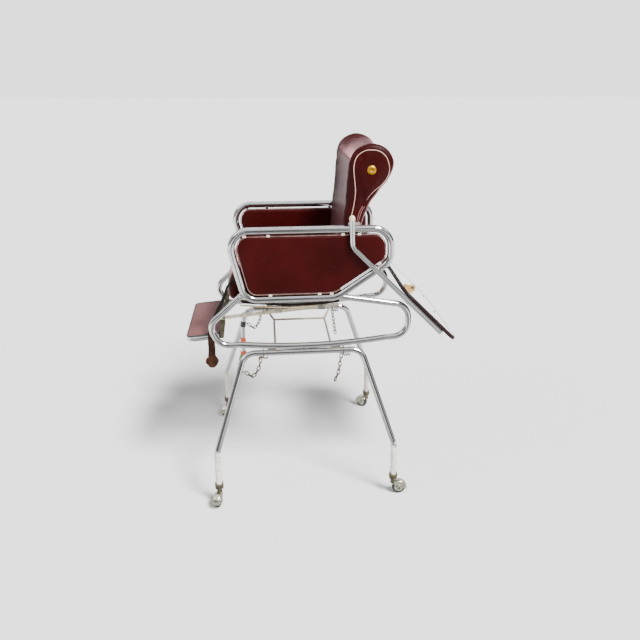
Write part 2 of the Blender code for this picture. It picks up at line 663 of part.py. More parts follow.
def fork_mesh():
    """Hood over the wheel with a neck and a swivel pin, made once and shared by the four casters."""
    local_axle = axle_matrix(Matrix())
    hood = turned("caster_fork", [(0.0, HOOD_WIDTH / 2), (HOOD_R - 0.002, HOOD_WIDTH / 2),
                                  (HOOD_R, HOOD_WIDTH / 2 - 0.002), (HOOD_R, 0.002 - HOOD_WIDTH / 2),
                                  (HOOD_R - 0.002, -HOOD_WIDTH / 2), (0.0, -HOOD_WIDTH / 2)],
                  CHROME, "frame", local_axle, steps=24)
    neck = turned("cut_fork_neck", [(0.0, 0.0755), (SWIVEL_PIN_R, 0.0755), (SWIVEL_PIN_R, 0.0685),
                                    (0.0120, 0.0685), (0.0120, 0.0640), (0.0095, 0.0600), (0.0095, 0.0420),
                                    (0.0, 0.0420)], None, "frame", steps=20, collection=cutters)
    room = turned("cut_fork_room", [(0.0, WHEEL_WIDTH / 2 + 0.0018), (HOOD_R - 0.0022, WHEEL_WIDTH / 2 + 0.0018),
                                    (HOOD_R - 0.0022, -WHEEL_WIDTH / 2 - 0.0018),
                                    (0.0, -WHEEL_WIDTH / 2 - 0.0018)], None, "frame", local_axle, steps=24,
                  collection=cutters)
    bore = turned("cut_fork_bore", [(0.0, 0.03), (WHEEL_BORE_R, 0.03), (WHEEL_BORE_R, -0.03), (0.0, -0.03)],
                  None, "frame", local_axle, steps=12, collection=cutters)
    mouth_turn = (Matrix.Translation((CASTER_TRAIL, 0, WHEEL_R)) @ Matrix.Rotation(math.radians(24), 4, "Y"))
    mouth = box("cut_fork_mouth", (-0.06, -0.03, -0.06), (0.06, 0.03, -0.0065), None, "frame", cutters,
                mouth_turn)
    boolean(hood, neck, "UNION")
    for cutter in (room, bore, mouth):
        boolean(hood, cutter)
    made = as_mesh(hood)
    matrix = made.matrix_basis.copy()
    mesh = made.data
    mesh.transform(matrix)
    bpy.data.objects.remove(made, do_unlink=True)
    mesh.shade_smooth()
    mesh.set_sharp_from_angle(angle=math.radians(35))
    return mesh


def make_caster(name, swivel, shared_fork):
    collar = [(0.0, LEG_END_Z - GAP), (LOWER_TUBE_R + GAP, LEG_END_Z - GAP),
              (LOWER_TUBE_R + GAP, LEG_END_Z + 0.006), (0.0150, LEG_END_Z + 0.006), (0.0145, LEG_END_Z - 0.009), (SWIVEL_PIN_R + GAP, LEG_END_Z - 0.009),
              (SWIVEL_PIN_R + GAP, LEG_END_Z - 0.002), (0.0, LEG_END_Z - 0.002)]
    turned(f"caster_collar_{name}", collar, STEEL, "frame",
           Matrix.Translation(swivel.translation), steps=20)
    joint = f"caster_swivel_{name}"
    empty(joint, swivel, "frame")
    fork = bpy.data.objects.new(f"caster_fork_{name}", shared_fork)
    fork.matrix_basis = swivel
    parts.objects.link(fork)
    carry(fork, joint)
    axle = axle_matrix(swivel)
    spin = f"wheel_spin_{name}"
    empty(spin, axle, joint)
    reach = HOOD_WIDTH / 2 + GAP
    pin_r = WHEEL_BORE_R - 0.0002
    pin = [(0.0, reach + 0.002), (0.0045, reach + 0.0012), (0.0045, reach), (pin_r, reach),
           (pin_r, -reach), (0.0045, -reach), (0.0045, -reach - 0.0012), (0.0, -reach - 0.002)]
    turned(f"caster_axle_{name}", pin, STEEL, joint, axle, steps=12)
    half = WHEEL_WIDTH / 2
    tread = [(WHEEL_BORE_R, half), (0.0085, half), (0.0165, half - 0.003), (0.0185, half),
             (WHEEL_R - 0.003, half), (WHEEL_R, half - 0.004), (WHEEL_R, 0.004 - half),
             (WHEEL_R - 0.003, -half), (0.0185, -half), (0.0165, 0.003 - half), (0.0085, -half),
             (WHEEL_BORE_R, -half)]
    flat_down = Matrix.Rotation(math.radians(7.5), 4, "Z")
    turned(f"caster_wheel_{name}", tread, RUBBER, spin, axle @ flat_down, steps=24, bored=True)


# ---------------------------------------------------------------- assembly
empty("frame", Matrix())
empty("back_hinge", Matrix.Translation((0, *PIVOT)), "frame")
empty("shelf_hinge", Matrix.Translation((0, *PIVOT)), "frame")
empty("footrest_slide", Matrix.Translation((0, *BAR_FRONT)) @ Matrix.Rotation(BAR_SLOPE, 4, "X"), "frame")

for name, sign in SIDES.items():
    make_loops(name, sign)
    make_side_panel(name, sign)
    make_base_frame(name, sign)
    make_shelf_tube(name, sign)
    make_pivot_bolt(name, sign)
    make_bar_holder(f"footrest_clamp_{name}", sign, CLAMP_Y, 0.016)
    make_bar_holder(f"footrest_guide_{name}", sign, GUIDE_Y, 0.006)
    front_chain = [(sign * x, y, z) for x, y, z in FRONT_CHAIN]
    empty(f"front_chain_{name}_swing", Matrix.Translation(front_chain[0]), "frame")
    make_chain(f"front_chain_{name}", front_chain, 7, f"front_chain_{name}_swing")
    rear_chain = REAR_CHAINS[name]
    empty(f"rear_chain_{name}_swing", Matrix.Translation(rear_chain[0]), "frame")
    links = {"left": 5, "right": 7}[name]
    make_chain(f"rear_chain_{name}", rear_chain, links, f"rear_chain_{name}_swing")
make_seat()
make_strap()
make_back()
make_shelf_board()
make_footrest()
make_brace()
fork_shape = fork_mesh()
for name, (side_name, foot_y, heading) in CASTERS.items():
    make_caster(name, caster_matrix(side_name, foot_y, heading), fork_shape)


def centre_on_origin():
    """Stands the origin on the floor under the middle of the bounding box of every part."""
    bpy.context.view_layer.update()
    depsgraph = bpy.context.evaluated_depsgraph_get()
    corners = []
    for part in parts.objects:
        if part.type == "EMPTY":
            continue
        shape = part.evaluated_get(depsgraph)
        mesh = shape.to_mesh()
        corners += [shape.matrix_world @ v.co for v in mesh.vertices]
        shape.to_mesh_clear()
    spans = [(min(c[k] for c in corners), max(c[k] for c in corners)) for k in range(3)]
    shift = Vector((-sum(spans[0]) / 2, -sum(spans[1]) / 2, -spans[2][0]))
    bpy.data.objects["frame"].matrix_basis = Matrix.Translation(shift)
    bpy.context.view_layer.update()


centre_on_origin()
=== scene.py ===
"""Looks of the dental chair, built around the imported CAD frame.

Lengths are in metres. Everything is laid out in the chair frame of the CAD (X = 0 on the middle plane,
Y = 0 midway along the arms, Z = 0 on the floor) and then moved by ORIGIN into the row frame.
"""

import json
from math import atan2, ceil, copysign, cos, degrees, exp, pi, radians, sin, sqrt, tan

import bmesh
import bpy
from mathutils import Matrix, Vector, noise
from mathutils.bvhtree import BVHTree


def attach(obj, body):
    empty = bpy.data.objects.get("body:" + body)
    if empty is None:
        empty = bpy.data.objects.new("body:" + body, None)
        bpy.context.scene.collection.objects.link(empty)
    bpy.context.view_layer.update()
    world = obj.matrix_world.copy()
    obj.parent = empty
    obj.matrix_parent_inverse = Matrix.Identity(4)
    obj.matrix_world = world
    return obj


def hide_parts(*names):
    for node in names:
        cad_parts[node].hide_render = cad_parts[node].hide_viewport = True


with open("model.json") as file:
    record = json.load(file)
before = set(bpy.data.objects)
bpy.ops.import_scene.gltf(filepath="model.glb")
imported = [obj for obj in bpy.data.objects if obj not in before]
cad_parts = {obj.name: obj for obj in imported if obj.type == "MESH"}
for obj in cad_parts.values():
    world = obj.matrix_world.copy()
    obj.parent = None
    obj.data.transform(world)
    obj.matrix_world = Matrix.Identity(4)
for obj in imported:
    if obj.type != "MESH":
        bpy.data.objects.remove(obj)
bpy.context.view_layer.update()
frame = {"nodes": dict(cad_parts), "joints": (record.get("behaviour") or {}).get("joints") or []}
NODES = frame["nodes"]
JOINTS = {joint["name"]: joint for joint in frame["joints"]}

# ---------------------------------------------------------------- numbers shared with the CAD
ARM_TUBE_R = 0.0127
LOWER_TUBE_R = 0.0111
SHELF_TUBE_R = 0.0095
LOOP_X = 0.250
ARM_CORNERS = [(-0.292, 0.989), (-0.235, 0.745), (0.085, 0.745), (0.277, 0.872), (0.275, 0.989)]
ARM_RADII = [0.062, 0.055, 0.080, 0.055, 0.062]
NOSE_START = (-0.238, 0.771)
NOSE_CORNERS = [(-0.368, 0.652), (-0.330, 0.577)]
NOSE_RADII = [0.045, 0.055]
TAIL_CORNERS = [(0.347, 0.592), (0.345, 0.707)]
TAIL_RADII = [0.055, 0.055]
TAIL_END = (0.098, 0.7475)
ROCKER = (-0.030, 0.567, 2.2)      # lowest point's y and z, and the radius
PANEL_INSET = 0.0215
PANEL_THICKNESS = 0.0185
BASE_RAIL_Z = 0.5435
RAIL_ENDS_Y = (-0.247, 0.176)
FOOT_X = 0.360
FEET_Y = (-0.357, 0.286)
KNEE_Z = 0.208
LEG_END_Z = 0.078
SHELF_X = 0.2735
SHELF_BEND = (0.139, 0.930)
SHELF_TUBE_TOP_Z = 1.022
SHELF_TUBE_LENGTH = 0.459
SHELF_SLOPE = radians(-45.0)
SHELF_START = 0.247
SHELF_DEPTH = 0.284
SHELF_HALF_WIDTH = 0.270
SHELF_THICKNESS = 0.012
PIVOT_FROM_BEND = 0.030
HEAD_CENTRE = (0.209, 1.193)
HEAD_R = 0.077
VENT_CENTRE = (0.208, 1.185)
BAR_X = 0.190
BAR_FRONT = (-0.320, 0.662)
BAR_SLOPE = radians(5.0)
STRAP_X = 0.215
UNDER_SEAT_X = 0.2265              # just inside the rails
FRONT_CHAIN = [(0.2500, -0.190, 0.524), (0.2515, -0.194, 0.498), (0.2530, -0.200, 0.483),
               (0.2545, -0.211, 0.463), (0.2560, -0.220, 0.454), (0.2570, -0.230, 0.459),
               (0.2585, -0.243, 0.472), (0.2590, -0.249, 0.476)]
REAR_CHAINS = {"left": [(LOOP_X, 0.104, 0.528), (LOOP_X, 0.099, 0.503), (LOOP_X, 0.093, 0.459),
                        (LOOP_X, 0.082, 0.431), (LOOP_X, 0.080, 0.421)],
               "right": [(-LOOP_X, 0.116, 0.528), (-LOOP_X, 0.131, 0.408)]}
LINK_LENGTH = 0.019
LINK_WIDTH = 0.0105
LINK_WIRE_R = 0.0019
LINK_PITCH = 0.0160
END_RING = (0.0170, 0.0150, 0.0022)             # length, width and wire radius
SIDES = {"left": 1, "right": -1}

PIVOT = Vector((0.0, SHELF_BEND[0] + PIVOT_FROM_BEND * cos(SHELF_SLOPE),
                SHELF_BEND[1] + PIVOT_FROM_BEND * sin(SHELF_SLOPE)))
ORIGIN = Vector(JOINTS["back_recline"]["pos_m"]) - PIVOT
TO_ROW = Matrix.Translation(ORIGIN)

# ---------------------------------------------------------------- shader nodes
class Nodes:
    """Short names for the shader nodes of one tree; values are outputs, numbers or colours."""

    def __init__(self, tree):
        self.tree = tree

    def feed(self, socket, value):
        if isinstance(value, tuple) and socket.type == "RGBA":
            value = (*value, 1.0)
        if hasattr(value, "is_output"):
            self.tree.links.new(value, socket)
        else:
            socket.default_value = value

    def node(self, kind, **inputs):
        made = self.tree.nodes.new(kind)
        for key, value in inputs.items():
            self.feed(made.inputs[key.replace("_", " ")], value)
        return made

    def split(self, vector):
        """The X, Y and Z of a vector."""
        return self.node("ShaderNodeSeparateXYZ", Vector=vector).outputs

    def math(self, operation, *values):
        made = self.tree.nodes.new("ShaderNodeMath")
        made.operation = operation
        for socket, value in zip(made.inputs, values):
            self.feed(socket, value)
        return made.outputs[0]

    def add(self, a, b):
        return self.math("ADD", a, b)

    def times(self, a, b):
        return self.math("MULTIPLY", a, b)

    def ramp(self, value, stops):
        """Colour ramp from (position, colour) or (position, grey) stops."""
        made = self.node("ShaderNodeValToRGB", Fac=value)
        elements = made.color_ramp.elements
        while len(elements) < len(stops):
            elements.new(0.5)
        for element, (position, colour) in zip(elements, stops):
            element.position = position
            colour = colour if isinstance(colour, tuple) else (colour,) * 3
            element.color = (*colour, 1.0)
        return made.outputs[0]

    def span(self, value, low, high, to_low=0.0, to_high=1.0):
        made = self.node("ShaderNodeMapRange", Value=value, From_Min=low, From_Max=high, To_Min=to_low,
                         To_Max=to_high)
        return made.outputs[0]

    def mix(self, factor, a, b, blend="MIX"):
        made = self.tree.nodes.new("ShaderNodeMix")
        made.data_type = "RGBA"
        made.blend_type = blend
        self.feed(made.inputs[0], factor)
        for socket, value in ((made.inputs[6], a), (made.inputs[7], b)):
            self.feed(socket, (value,) * 3 if isinstance(value, float) else value)
        return made.outputs[2]


class Material(Nodes):
    """A Principled material whose nodes all read the same object-space coordinates."""

    def __init__(self, name, **sockets):
        self.data = bpy.data.materials.new(name)
        self.data.use_nodes = True
        super().__init__(self.data.node_tree)
        self.place = self.node("ShaderNodeTexCoord").outputs["Object"]
        self.use(**sockets)

    def use(self, **sockets):
        shader = self.tree.nodes["Principled BSDF"]
        for socket, value in sockets.items():
            self.feed(shader.inputs[socket.replace("_", " ")], value)
        return self

    def stretched(self, scale):
        """The coordinates scaled by a vector."""
        return self.node("ShaderNodeMapping", Vector=self.place, Scale=scale).outputs[0]

    def noise(self, scale, detail=3.0, roughness=0.5, distortion=0.0, vector=None):
        made = self.node("ShaderNodeTexNoise", Vector=vector or self.place, Scale=scale, Detail=detail,
                         Roughness=roughness, Distortion=distortion)
        return made.outputs[0]

    def spots(self, scale, detail, roughness, low, high, distortion=0.0):
        """Noise turned into patches: 0 up to low, 1 from high on."""
        return self.ramp(self.noise(scale, detail, roughness, distortion),
                         [(0.0, 0.0), (low, 0.0), (high, 1.0)])

    def cell_edges(self, scale):
        """Distance to the edges of a cell pattern."""
        made = self.node("ShaderNodeTexVoronoi", Vector=self.place, Scale=scale)
        made.feature = "DISTANCE_TO_EDGE"
        return made.outputs["Distance"]

    def bump(self, height, distance, strength=1.0, normal=None):
        made = self.node("ShaderNodeBump", Height=height, Distance=distance, Strength=strength)
        if normal:
            self.feed(made.inputs["Normal"], normal)
        return made.outputs[0]


# ---------------------------------------------------------------- camera, floor and lights
CAMERA_PLACE = Vector((2.6007, -0.1500, 1.5021))
CAMERA_PITCH = 19.634
CAMERA_HEADING = 83.98
CAMERA_LENS = 39.375
CAMERA_SHIFT_X = -0.03125
FLOOR_REACH = 40.0
MIRRORED_REACH = 2.5               # how far from the chair the chrome sees the floor change
# Greys: CEILING from straight down to straight up, WALLS once round, MIRRORED_FLOOR along X, MIRRORED_SIDES
# by distance along Y.
BACKDROP = 2.15
AMBIENT = 0.43
FLOOR_GREY = 0.88
CEILING = [(0.0, 0.04), (0.30, 0.04), (0.44, 0.50), (0.56, 1.5), (0.66, 1.7), (0.71, 0.16), (0.76, 0.14),
           (0.81, 1.9), (1.0, 1.6)]
WALLS = [(0.0, 1.3), (0.12, 1.1), (0.24, 0.75), (0.33, 0.60), (0.37, 0.10), (0.41, 0.08), (0.45, 0.45),
         (0.50, 0.10), (0.58, 0.06), (0.63, 1.1), (0.70, 0.10), (0.80, 0.25), (0.88, 1.2), (1.0, 1.3)]
MIRRORED_FLOOR = [(0.0, 0.55), (0.30, 0.85), (0.42, 0.80), (0.56, 0.42), (0.66, 0.33), (0.78, 0.20),
                  (0.88, 0.08), (1.0, 0.08)]
MIRRORED_SIDES = [(0.0, 0.0), (0.22, 0.05), (0.40, 0.60), (0.70, 0.85), (1.0, 0.85)]


def linked(thing):
    bpy.context.scene.collection.objects.link(thing)
    return thing


def make_camera():
    data = bpy.data.cameras.new("camera")
    data.sensor_width = 36.0
    data.lens = CAMERA_LENS
    data.shift_x = CAMERA_SHIFT_X
    data.clip_end = 200.0
    camera = linked(bpy.data.objects.new("camera", data))
    camera.location = CAMERA_PLACE + ORIGIN
    camera.rotation_euler = (radians(90.0 - CAMERA_PITCH), 0.0, radians(CAMERA_HEADING))
    bpy.context.scene.camera = camera


def sun_light(name, direction, strength, spread):
    """A distant soft light; direction points from the chair to the light."""
    data = bpy.data.lights.new(name, "SUN")
    data.energy = strength
    data.angle = radians(spread)
    light = linked(bpy.data.objects.new(name, data))
    light.rotation_euler = Vector(direction).to_track_quat("Z", "Y").to_euler()


def make_world():
    """Pale to look at; what the chrome mirrors is a dark room with a bright ceiling and tall windows."""
    world = bpy.data.worlds.new("studio")
    bpy.context.scene.world = world
    world.use_nodes = True
    world.cycles.sampling_method = "NONE"
    made = Nodes(world.node_tree)
    way = made.split(made.node("ShaderNodeTexCoord").outputs["Generated"])
    heading = made.span(made.math("ARCTAN2", way["Y"], way["X"]), -pi, pi)
    room = made.mix(1.0, made.ramp(way["Z"], CEILING), made.ramp(heading, WALLS), "LIGHTEN")
    path = made.node("ShaderNodeLightPath").outputs
    room = made.mix(path["Is Diffuse Ray"], room, AMBIENT)
    room = made.mix(path["Is Camera Ray"], room, BACKDROP)
    made.feed(world.node_tree.nodes["Background"].inputs["Color"], room)


def make_floor():
    """Pale paper; what the chrome mirrors of it is darker in the middle and towards the camera."""
    mesh = bpy.data.meshes.new("floor")
    corners = [(x * FLOOR_REACH, y * FLOOR_REACH, 0) for x, y in ((-1, -1), (1, -1), (1, 1), (-1, 1))]
    mesh.from_pydata(corners, [], [(0, 1, 2, 3)])
    floor = linked(bpy.data.objects.new("floor", mesh))
    made = Material("floor_paper", Roughness=1.0, Specular_IOR_Level=0.0)
    place = made.split(made.place)
    across = made.span(place["X"], -MIRRORED_REACH, MIRRORED_REACH)
    aside = made.math("DIVIDE", made.math("ABSOLUTE", place["Y"]), MIRRORED_REACH)
    mirrored = made.mix(1.0, made.ramp(across, MIRRORED_FLOOR), made.ramp(aside, MIRRORED_SIDES), "LIGHTEN")
    in_mirror = made.node("ShaderNodeLightPath").outputs["Is Glossy Ray"]
    made.use(Base_Color=made.mix(in_mirror, FLOOR_GREY, mirrored))
    mesh.materials.append(made.data)


make_camera()
make_floor()
make_world()
sun_light("key", (0.55, 0.53, 1.00), 5.6, 13.0)
sun_light("second_key", (0.92, 0.53, 1.00), 3.6, 16.0)
sun_light("fill", (0.30, -0.75, 0.80), 0.5, 30.0)


# ---------------------------------------------------------------- materials
def chrome_material(name, tarnish, paint_below=None):
    """Worn chrome; with paint_below it turns into chipped cream paint under that height."""
    made = Material(name, Roughness=0.12, Metallic=1.0)
    cloud = made.noise(38.0, 4.0, 0.6)
    spots = made.spots(310.0, 2.0, 0.65, 0.665 - tarnish, 0.72)
    colour = made.ramp(cloud, [(0.30, (0.47, 0.465, 0.46)), (0.62, (0.60, 0.60, 0.61))])
    colour = made.mix(spots, colour, (0.20, 0.12, 0.07))
    rough = made.add(made.span(cloud, 0.3, 0.7, 0.15, 0.05), made.times(spots, 0.45))
    height = made.times(cloud, 0.5)
    if paint_below is None:
        normal = made.bump(height, 0.0002, 0.10)
        return made.use(Base_Color=colour, Roughness=rough, Normal=normal)
    ragged = made.add(made.split(made.place)["Z"],
                      made.span(made.noise(75.0, 5.0, 0.7), 0.3, 0.7, -0.022, 0.022))
    paint = made.span(ragged, paint_below + 0.006, paint_below - 0.006)
    chips = made.ramp(made.noise(150.0, 4.0, 0.6), [(0.0, 1.0), (0.60, 1.0), (0.645, 0.0)])
    paint = made.times(paint, chips)
    bare = made.math("SUBTRACT", 1.0, paint)
    cream = made.ramp(made.noise(24.0, 4.0, 0.6), [(0.25, (0.58, 0.55, 0.46)), (0.7, (0.80, 0.78, 0.71))])
    rough = made.add(made.times(rough, bare), made.times(paint, 0.42))
    return made.use(Base_Color=made.mix(paint, colour, cream), Roughness=rough, Metallic=bare,
                    Normal=made.bump(made.add(height, paint), 0.0003, 0.4))


def vinyl_material(name, dark, light, roughness=0.36, dust=0.0, crease=1.0, sheen=0.46):
    """Leathercloth: fine pebble grain, soft creases, scuffs that have lost their colour."""
    made = Material(name, Roughness=roughness, IOR=1.16, Sheen_Weight=sheen, Sheen_Roughness=0.30,
                    Sheen_Tint=(1.0, 0.50, 0.54))
    broad = made.noise(7.0, 4.0, 0.55, 0.4)
    fine = made.noise(90.0, 4.0, 0.6)
    colour = made.ramp(broad, [(0.30, dark), (0.70, light)])
    scuffs = made.spots(30.0, 6.0, 0.72, 0.60, 0.78, 0.6)
    worn = tuple(min(1.0, 0.03 + 1.8 * c) for c in light)
    colour = made.mix(made.times(scuffs, 0.10 + dust), colour, worn)
    grain = made.span(made.cell_edges(760.0), 0.0, 0.12)
    crackle = made.noise(16.0, 5.0, 0.62, 1.2, vector=made.stretched((1.0, 0.7, 1.6)))
    normal = made.bump(crackle, 0.0014 * crease, 0.5)
    normal = made.bump(grain, 0.00010, 0.30, normal)
    rough = made.add(made.span(fine, 0.3, 0.7, roughness - 0.07, roughness + 0.08),
                     made.times(scuffs, 0.12))
    return made.use(Base_Color=colour, Roughness=rough, Normal=normal)


def metal_material(name, low, high, roughness, rust=0.0, scale=60.0):
    made = Material(name, Roughness=roughness, Metallic=1.0)
    cloud = made.noise(scale, 5.0, 0.62)
    colour = made.ramp(cloud, [(0.28, low), (0.72, high)])
    spots = made.spots(scale * 4.3, 3.0, 0.6, 0.62 - rust, 0.74)
    colour = made.mix(spots, colour, (0.12, 0.065, 0.035))
    rough = made.add(made.span(cloud, 0.3, 0.7, roughness + 0.10, roughness - 0.06), made.times(spots, 0.3))
    return made.use(Base_Color=colour, Roughness=rough, Normal=made.bump(cloud, 0.0004, 0.25))


def painted_material(name, low, high, roughness, chip=(0.16, 0.10, 0.07), chips=0.0, scale=40.0,
                     specular=0.5):
    """Paint, laminate or plastic with soft blotches, a faint skin texture and a few chips."""
    made = Material(name, Roughness=roughness, Specular_IOR_Level=specular)
    cloud = made.noise(scale, 5.0, 0.6)
    colour = made.ramp(cloud, [(0.28, low), (0.72, high)])
    spots = made.spots(scale * 5.0, 3.0, 0.6, 0.66 - chips, 0.72)
    colour = made.mix(spots, colour, chip)
    rough = made.span(made.noise(scale * 2.0, 3.0), 0.3, 0.7, roughness - 0.05, roughness + 0.08)
    skin = made.noise(520.0, 2.0)
    return made.use(Base_Color=colour, Roughness=rough, Normal=made.bump(skin, 0.0002, 0.2))


def wood_material(name, low, high):
    made = Material(name, Roughness=0.6)
    along = made.stretched((1.0, 0.06, 1.0))
    rings = made.noise(120.0, 5.0, 0.65, 1.5, vector=along)
    pores = made.noise(600.0, 2.0, 0.5, vector=along)
    colour = made.mix(made.span(pores, 0.55, 0.75), made.ramp(rings, [(0.3, low), (0.7, high)]), low)
    return made.use(Base_Color=colour, Roughness=made.span(rings, 0.3, 0.7, 0.66, 0.52),
                    Normal=made.bump(rings, 0.0005, 0.4))


def strap_material():
    """Old leather: smooth at the top, dried and cracked lower down; the very dark top colour is painted shade
    under the seat, the lower part is brown.
    """
    made = Material("strap_leather", Roughness=0.6, Specular_IOR_Level=0.16)
    ragged = made.add(made.split(made.place)["Z"],
                      made.span(made.noise(45.0, 4.0), 0.3, 0.7, -0.03, 0.03))
    # 0 at the top, where the colour is painted shade under the seat, 1 lower down, where the leather is
    # brown, dried and cracked
    dry_below_painted_shade = made.span(ragged, 0.650, 0.590)
    blotch = made.noise(70.0, 5.0, 0.65)
    # very dark colour of the strap's top: painted shade under the seat
    painted_shade_dark = made.ramp(blotch, [(0.3, (0.004, 0.003, 0.003)), (0.7, (0.012, 0.008, 0.007))])
    brown = made.ramp(blotch, [(0.28, (0.008, 0.002, 0.001)), (0.5, (0.028, 0.008, 0.003)),
                               (0.74, (0.078, 0.027, 0.009))])
    cracks = made.span(made.cell_edges(150.0), 0.0, 0.07)
    normal = made.bump(made.times(cracks, dry_below_painted_shade), 0.0006, 0.5)
    normal = made.bump(made.noise(230.0, 4.0, 0.7), 0.0007, 0.5, normal)
    return made.use(Base_Color=made.mix(dry_below_painted_shade, painted_shade_dark, brown), Roughness=made.add(made.times(dry_below_painted_shade, 0.30), 0.42),
                    Normal=normal)


CHROME = chrome_material("chrome_arms", 0.0)
CHROME_BASE = chrome_material("chrome_base", 0.01, paint_below=0.205)
CHROME_HOOD = metal_material("caster_hood_metal", (0.34, 0.33, 0.25), (0.70, 0.69, 0.58), 0.26, 0.03, 90.0)
STEEL = metal_material("dull_steel", (0.25, 0.23, 0.19), (0.52, 0.49, 0.42), 0.42, 0.04)
DARK_STEEL = metal_material("dark_steel", (0.07, 0.062, 0.038), (0.24, 0.22, 0.15), 0.46, 0.05)
RUSTY = metal_material("rusty_steel", (0.09, 0.040, 0.020), (0.26, 0.15, 0.09), 0.50, 0.06, 120.0)
CHAIN_STEEL = metal_material("chain_steel", (0.035, 0.026, 0.018), (0.17, 0.14, 0.10), 0.42, 0.06, 160.0)
BRASS = metal_material("brass", (0.40, 0.19, 0.010), (0.58, 0.31, 0.022), 0.42, 0.0, 110.0)
BRASS_DULL = metal_material("brass_catch", (0.60, 0.31, 0.08), (1.00, 0.74, 0.36), 0.40, 0.05, 60.0)
VINYL = vinyl_material("maroon_vinyl", (0.020, 0.0008, 0.0008), (0.034, 0.0018, 0.0017), 0.40)
SEAT_REDS = (0.018, 0.0008, 0.0009), (0.032, 0.0020, 0.0020)
VINYL_SEAT = vinyl_material("maroon_vinyl_seat", *SEAT_REDS, 0.40, 0.02)
VINYL_BACK = vinyl_material("maroon_vinyl_back", *SEAT_REDS, 0.40, 0.02, sheen=0.66)
# much paler copy of the maroon vinyl: its colour is painted light and sheen of the footrest's lit top
VINYL_FOOT_PAINTED_LIGHT = vinyl_material("maroon_footrest", (0.122, 0.048, 0.047), (0.165, 0.072, 0.070), 0.44, 0.10, 0.5)
PIPING_CREAM = painted_material("cream_piping", (0.46, 0.27, 0.20), (0.66, 0.44, 0.35), 0.5, chips=0.02)
PIPING_PINK = painted_material("panel_bead", (0.10, 0.028, 0.026), (0.30, 0.15, 0.135), 0.42, chips=0.03)
THREAD = painted_material("seam_thread", (0.24, 0.10, 0.09), (0.40, 0.20, 0.17), 0.6, scale=160.0)
CLIP = painted_material("clip_tab", (0.62, 0.52, 0.38), (0.86, 0.78, 0.64), 0.35, chips=0.0, scale=120.0)
BAR_PAINT = painted_material("bar_paint", (0.36, 0.31, 0.20), (0.66, 0.60, 0.45), 0.38, chips=0.03,
                             scale=60.0)
BATTEN = painted_material("pan_batten", (0.42, 0.30, 0.15), (0.72, 0.58, 0.36), 0.5, chips=0.02, scale=60.0)
BRACE_PAINT = painted_material("brace_paint", (0.14, 0.115, 0.085), (0.36, 0.31, 0.24), 0.45, chips=0.04)
WHITE = painted_material("white_laminate", (0.86, 0.86, 0.85), (0.93, 0.93, 0.92), 0.28, (0.60, 0.57, 0.53))
# very dark; on the shelf the dark edging and underside, on the strip under the seat painted shadow
EDGING_AND_SHADE = painted_material("dark_edging", (0.006, 0.003, 0.002), (0.016, 0.006, 0.005), 0.55, chips=0.0,
                        specular=0.18)
BLACK = painted_material("black_fittings", (0.012, 0.011, 0.010), (0.030, 0.028, 0.026), 0.45)
IVORY = painted_material("ivory_plastic", (0.60, 0.49, 0.33), (0.78, 0.69, 0.52), 0.32)
TYRE = painted_material("tyre_rubber", (0.008, 0.012, 0.009), (0.024, 0.030, 0.024), 0.62,
                        (0.10, 0.10, 0.08), 0.0, 120.0)
HUB = painted_material("wheel_hub", (0.34, 0.34, 0.29), (0.68, 0.68, 0.61), 0.42, chips=0.03, scale=120.0)
WOOD = wood_material("plywood", (0.16, 0.085, 0.040), (0.34, 0.21, 0.11))
RED_TAPE = painted_material("red_tape", (0.55, 0.035, 0.015), (0.72, 0.09, 0.03), 0.45)
GREEN_TAPE = painted_material("green_tape", (0.02, 0.22, 0.05), (0.06, 0.36, 0.09), 0.45)
STRAP = strap_material()


# ---------------------------------------------------------------- geometry helpers
def fillet(corners, radii, closed=False, step=radians(5)):
    """Points of a path whose corners are rounded by arcs, in two or three dimensions."""
    flat = len(corners[0]) == 2
    points = [Vector((*c, 0.0)) if flat else Vector(c) for c in corners]
    path = []
    for index, corner in enumerate(points):
        radius = radii[index]
        if radius == 0.0 or (not closed and index in (0, len(points) - 1)):
            path.append(corner)
            continue
        back = (points[index - 1] - corner).normalized()
        ahead = (points[(index + 1) % len(points)] - corner).normalized()
        turn = pi - back.angle(ahead)
        centre = corner + (back + ahead).normalized() * (radius / cos(turn / 2))
        start = corner + back * (radius * tan(turn / 2)) - centre
        axis = back.cross(ahead).normalized()
        count = max(2, ceil(turn / step))
        path += [centre + Matrix.Rotation(-turn * k / count, 3, axis) @ start for k in range(count + 1)]
    return [(p.x, p.y) for p in path] if flat else path


def inset(corners, distance):
    """Corners of a counter-clockwise outline moved inwards."""
    moved = []
    for index, here in enumerate(corners):
        here = Vector(here)
        first = (here - Vector(corners[index - 1])).normalized()
        second = (Vector(corners[(index + 1) % len(corners)]) - here).normalized()
        normal_a, normal_b = Vector((-first.y, first.x)), Vector((-second.y, second.x))
        bisector = (normal_a + normal_b).normalized()
        moved.append(tuple(here + bisector * (distance / bisector.dot(normal_a))))
    return moved


def at_x(points, x):
    return [Vector((x, y, z)) for y, z in points]


def spline_points(points, per_span=6, closed=False):
    """A smooth curve through the points."""
    points = [Vector(p) for p in points]
    count = len(points)
    spans = count if closed else count - 1
    path = []
    for k in range(spans):
        if closed:
            p0, p1, p2, p3 = (points[(k + d) % count] for d in (-1, 0, 1, 2))
        else:
            p0, p1, p2, p3 = (points[min(max(k + d, 0), count - 1)] for d in (-1, 0, 1, 2))
        for j in range(per_span):
            t = j / per_span
            path.append(0.5 * ((2 * p1) + (p2 - p0) * t + (2 * p0 - 5 * p1 + 4 * p2 - p3) * t * t
                               + (3 * p1 - p0 - 3 * p2 + p3) * t * t * t))
    if not closed:
        path.append(points[-1])
    return path


def paint(thing, finish):
    thing.data.materials.clear()
    thing.data.materials.append(finish.data)


def settle(thing, body, finish, matrix=None, replaces=()):
    """Links a piece built in the chair frame, moves it to the row frame and lets it ride on a body."""
    if thing.name not in bpy.context.scene.collection.objects:
        linked(thing)
    paint(thing, finish)
    thing.matrix_world = TO_ROW @ (matrix or Matrix())
    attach(thing, body)
    if replaces:
        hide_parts(*replaces)
    return thing


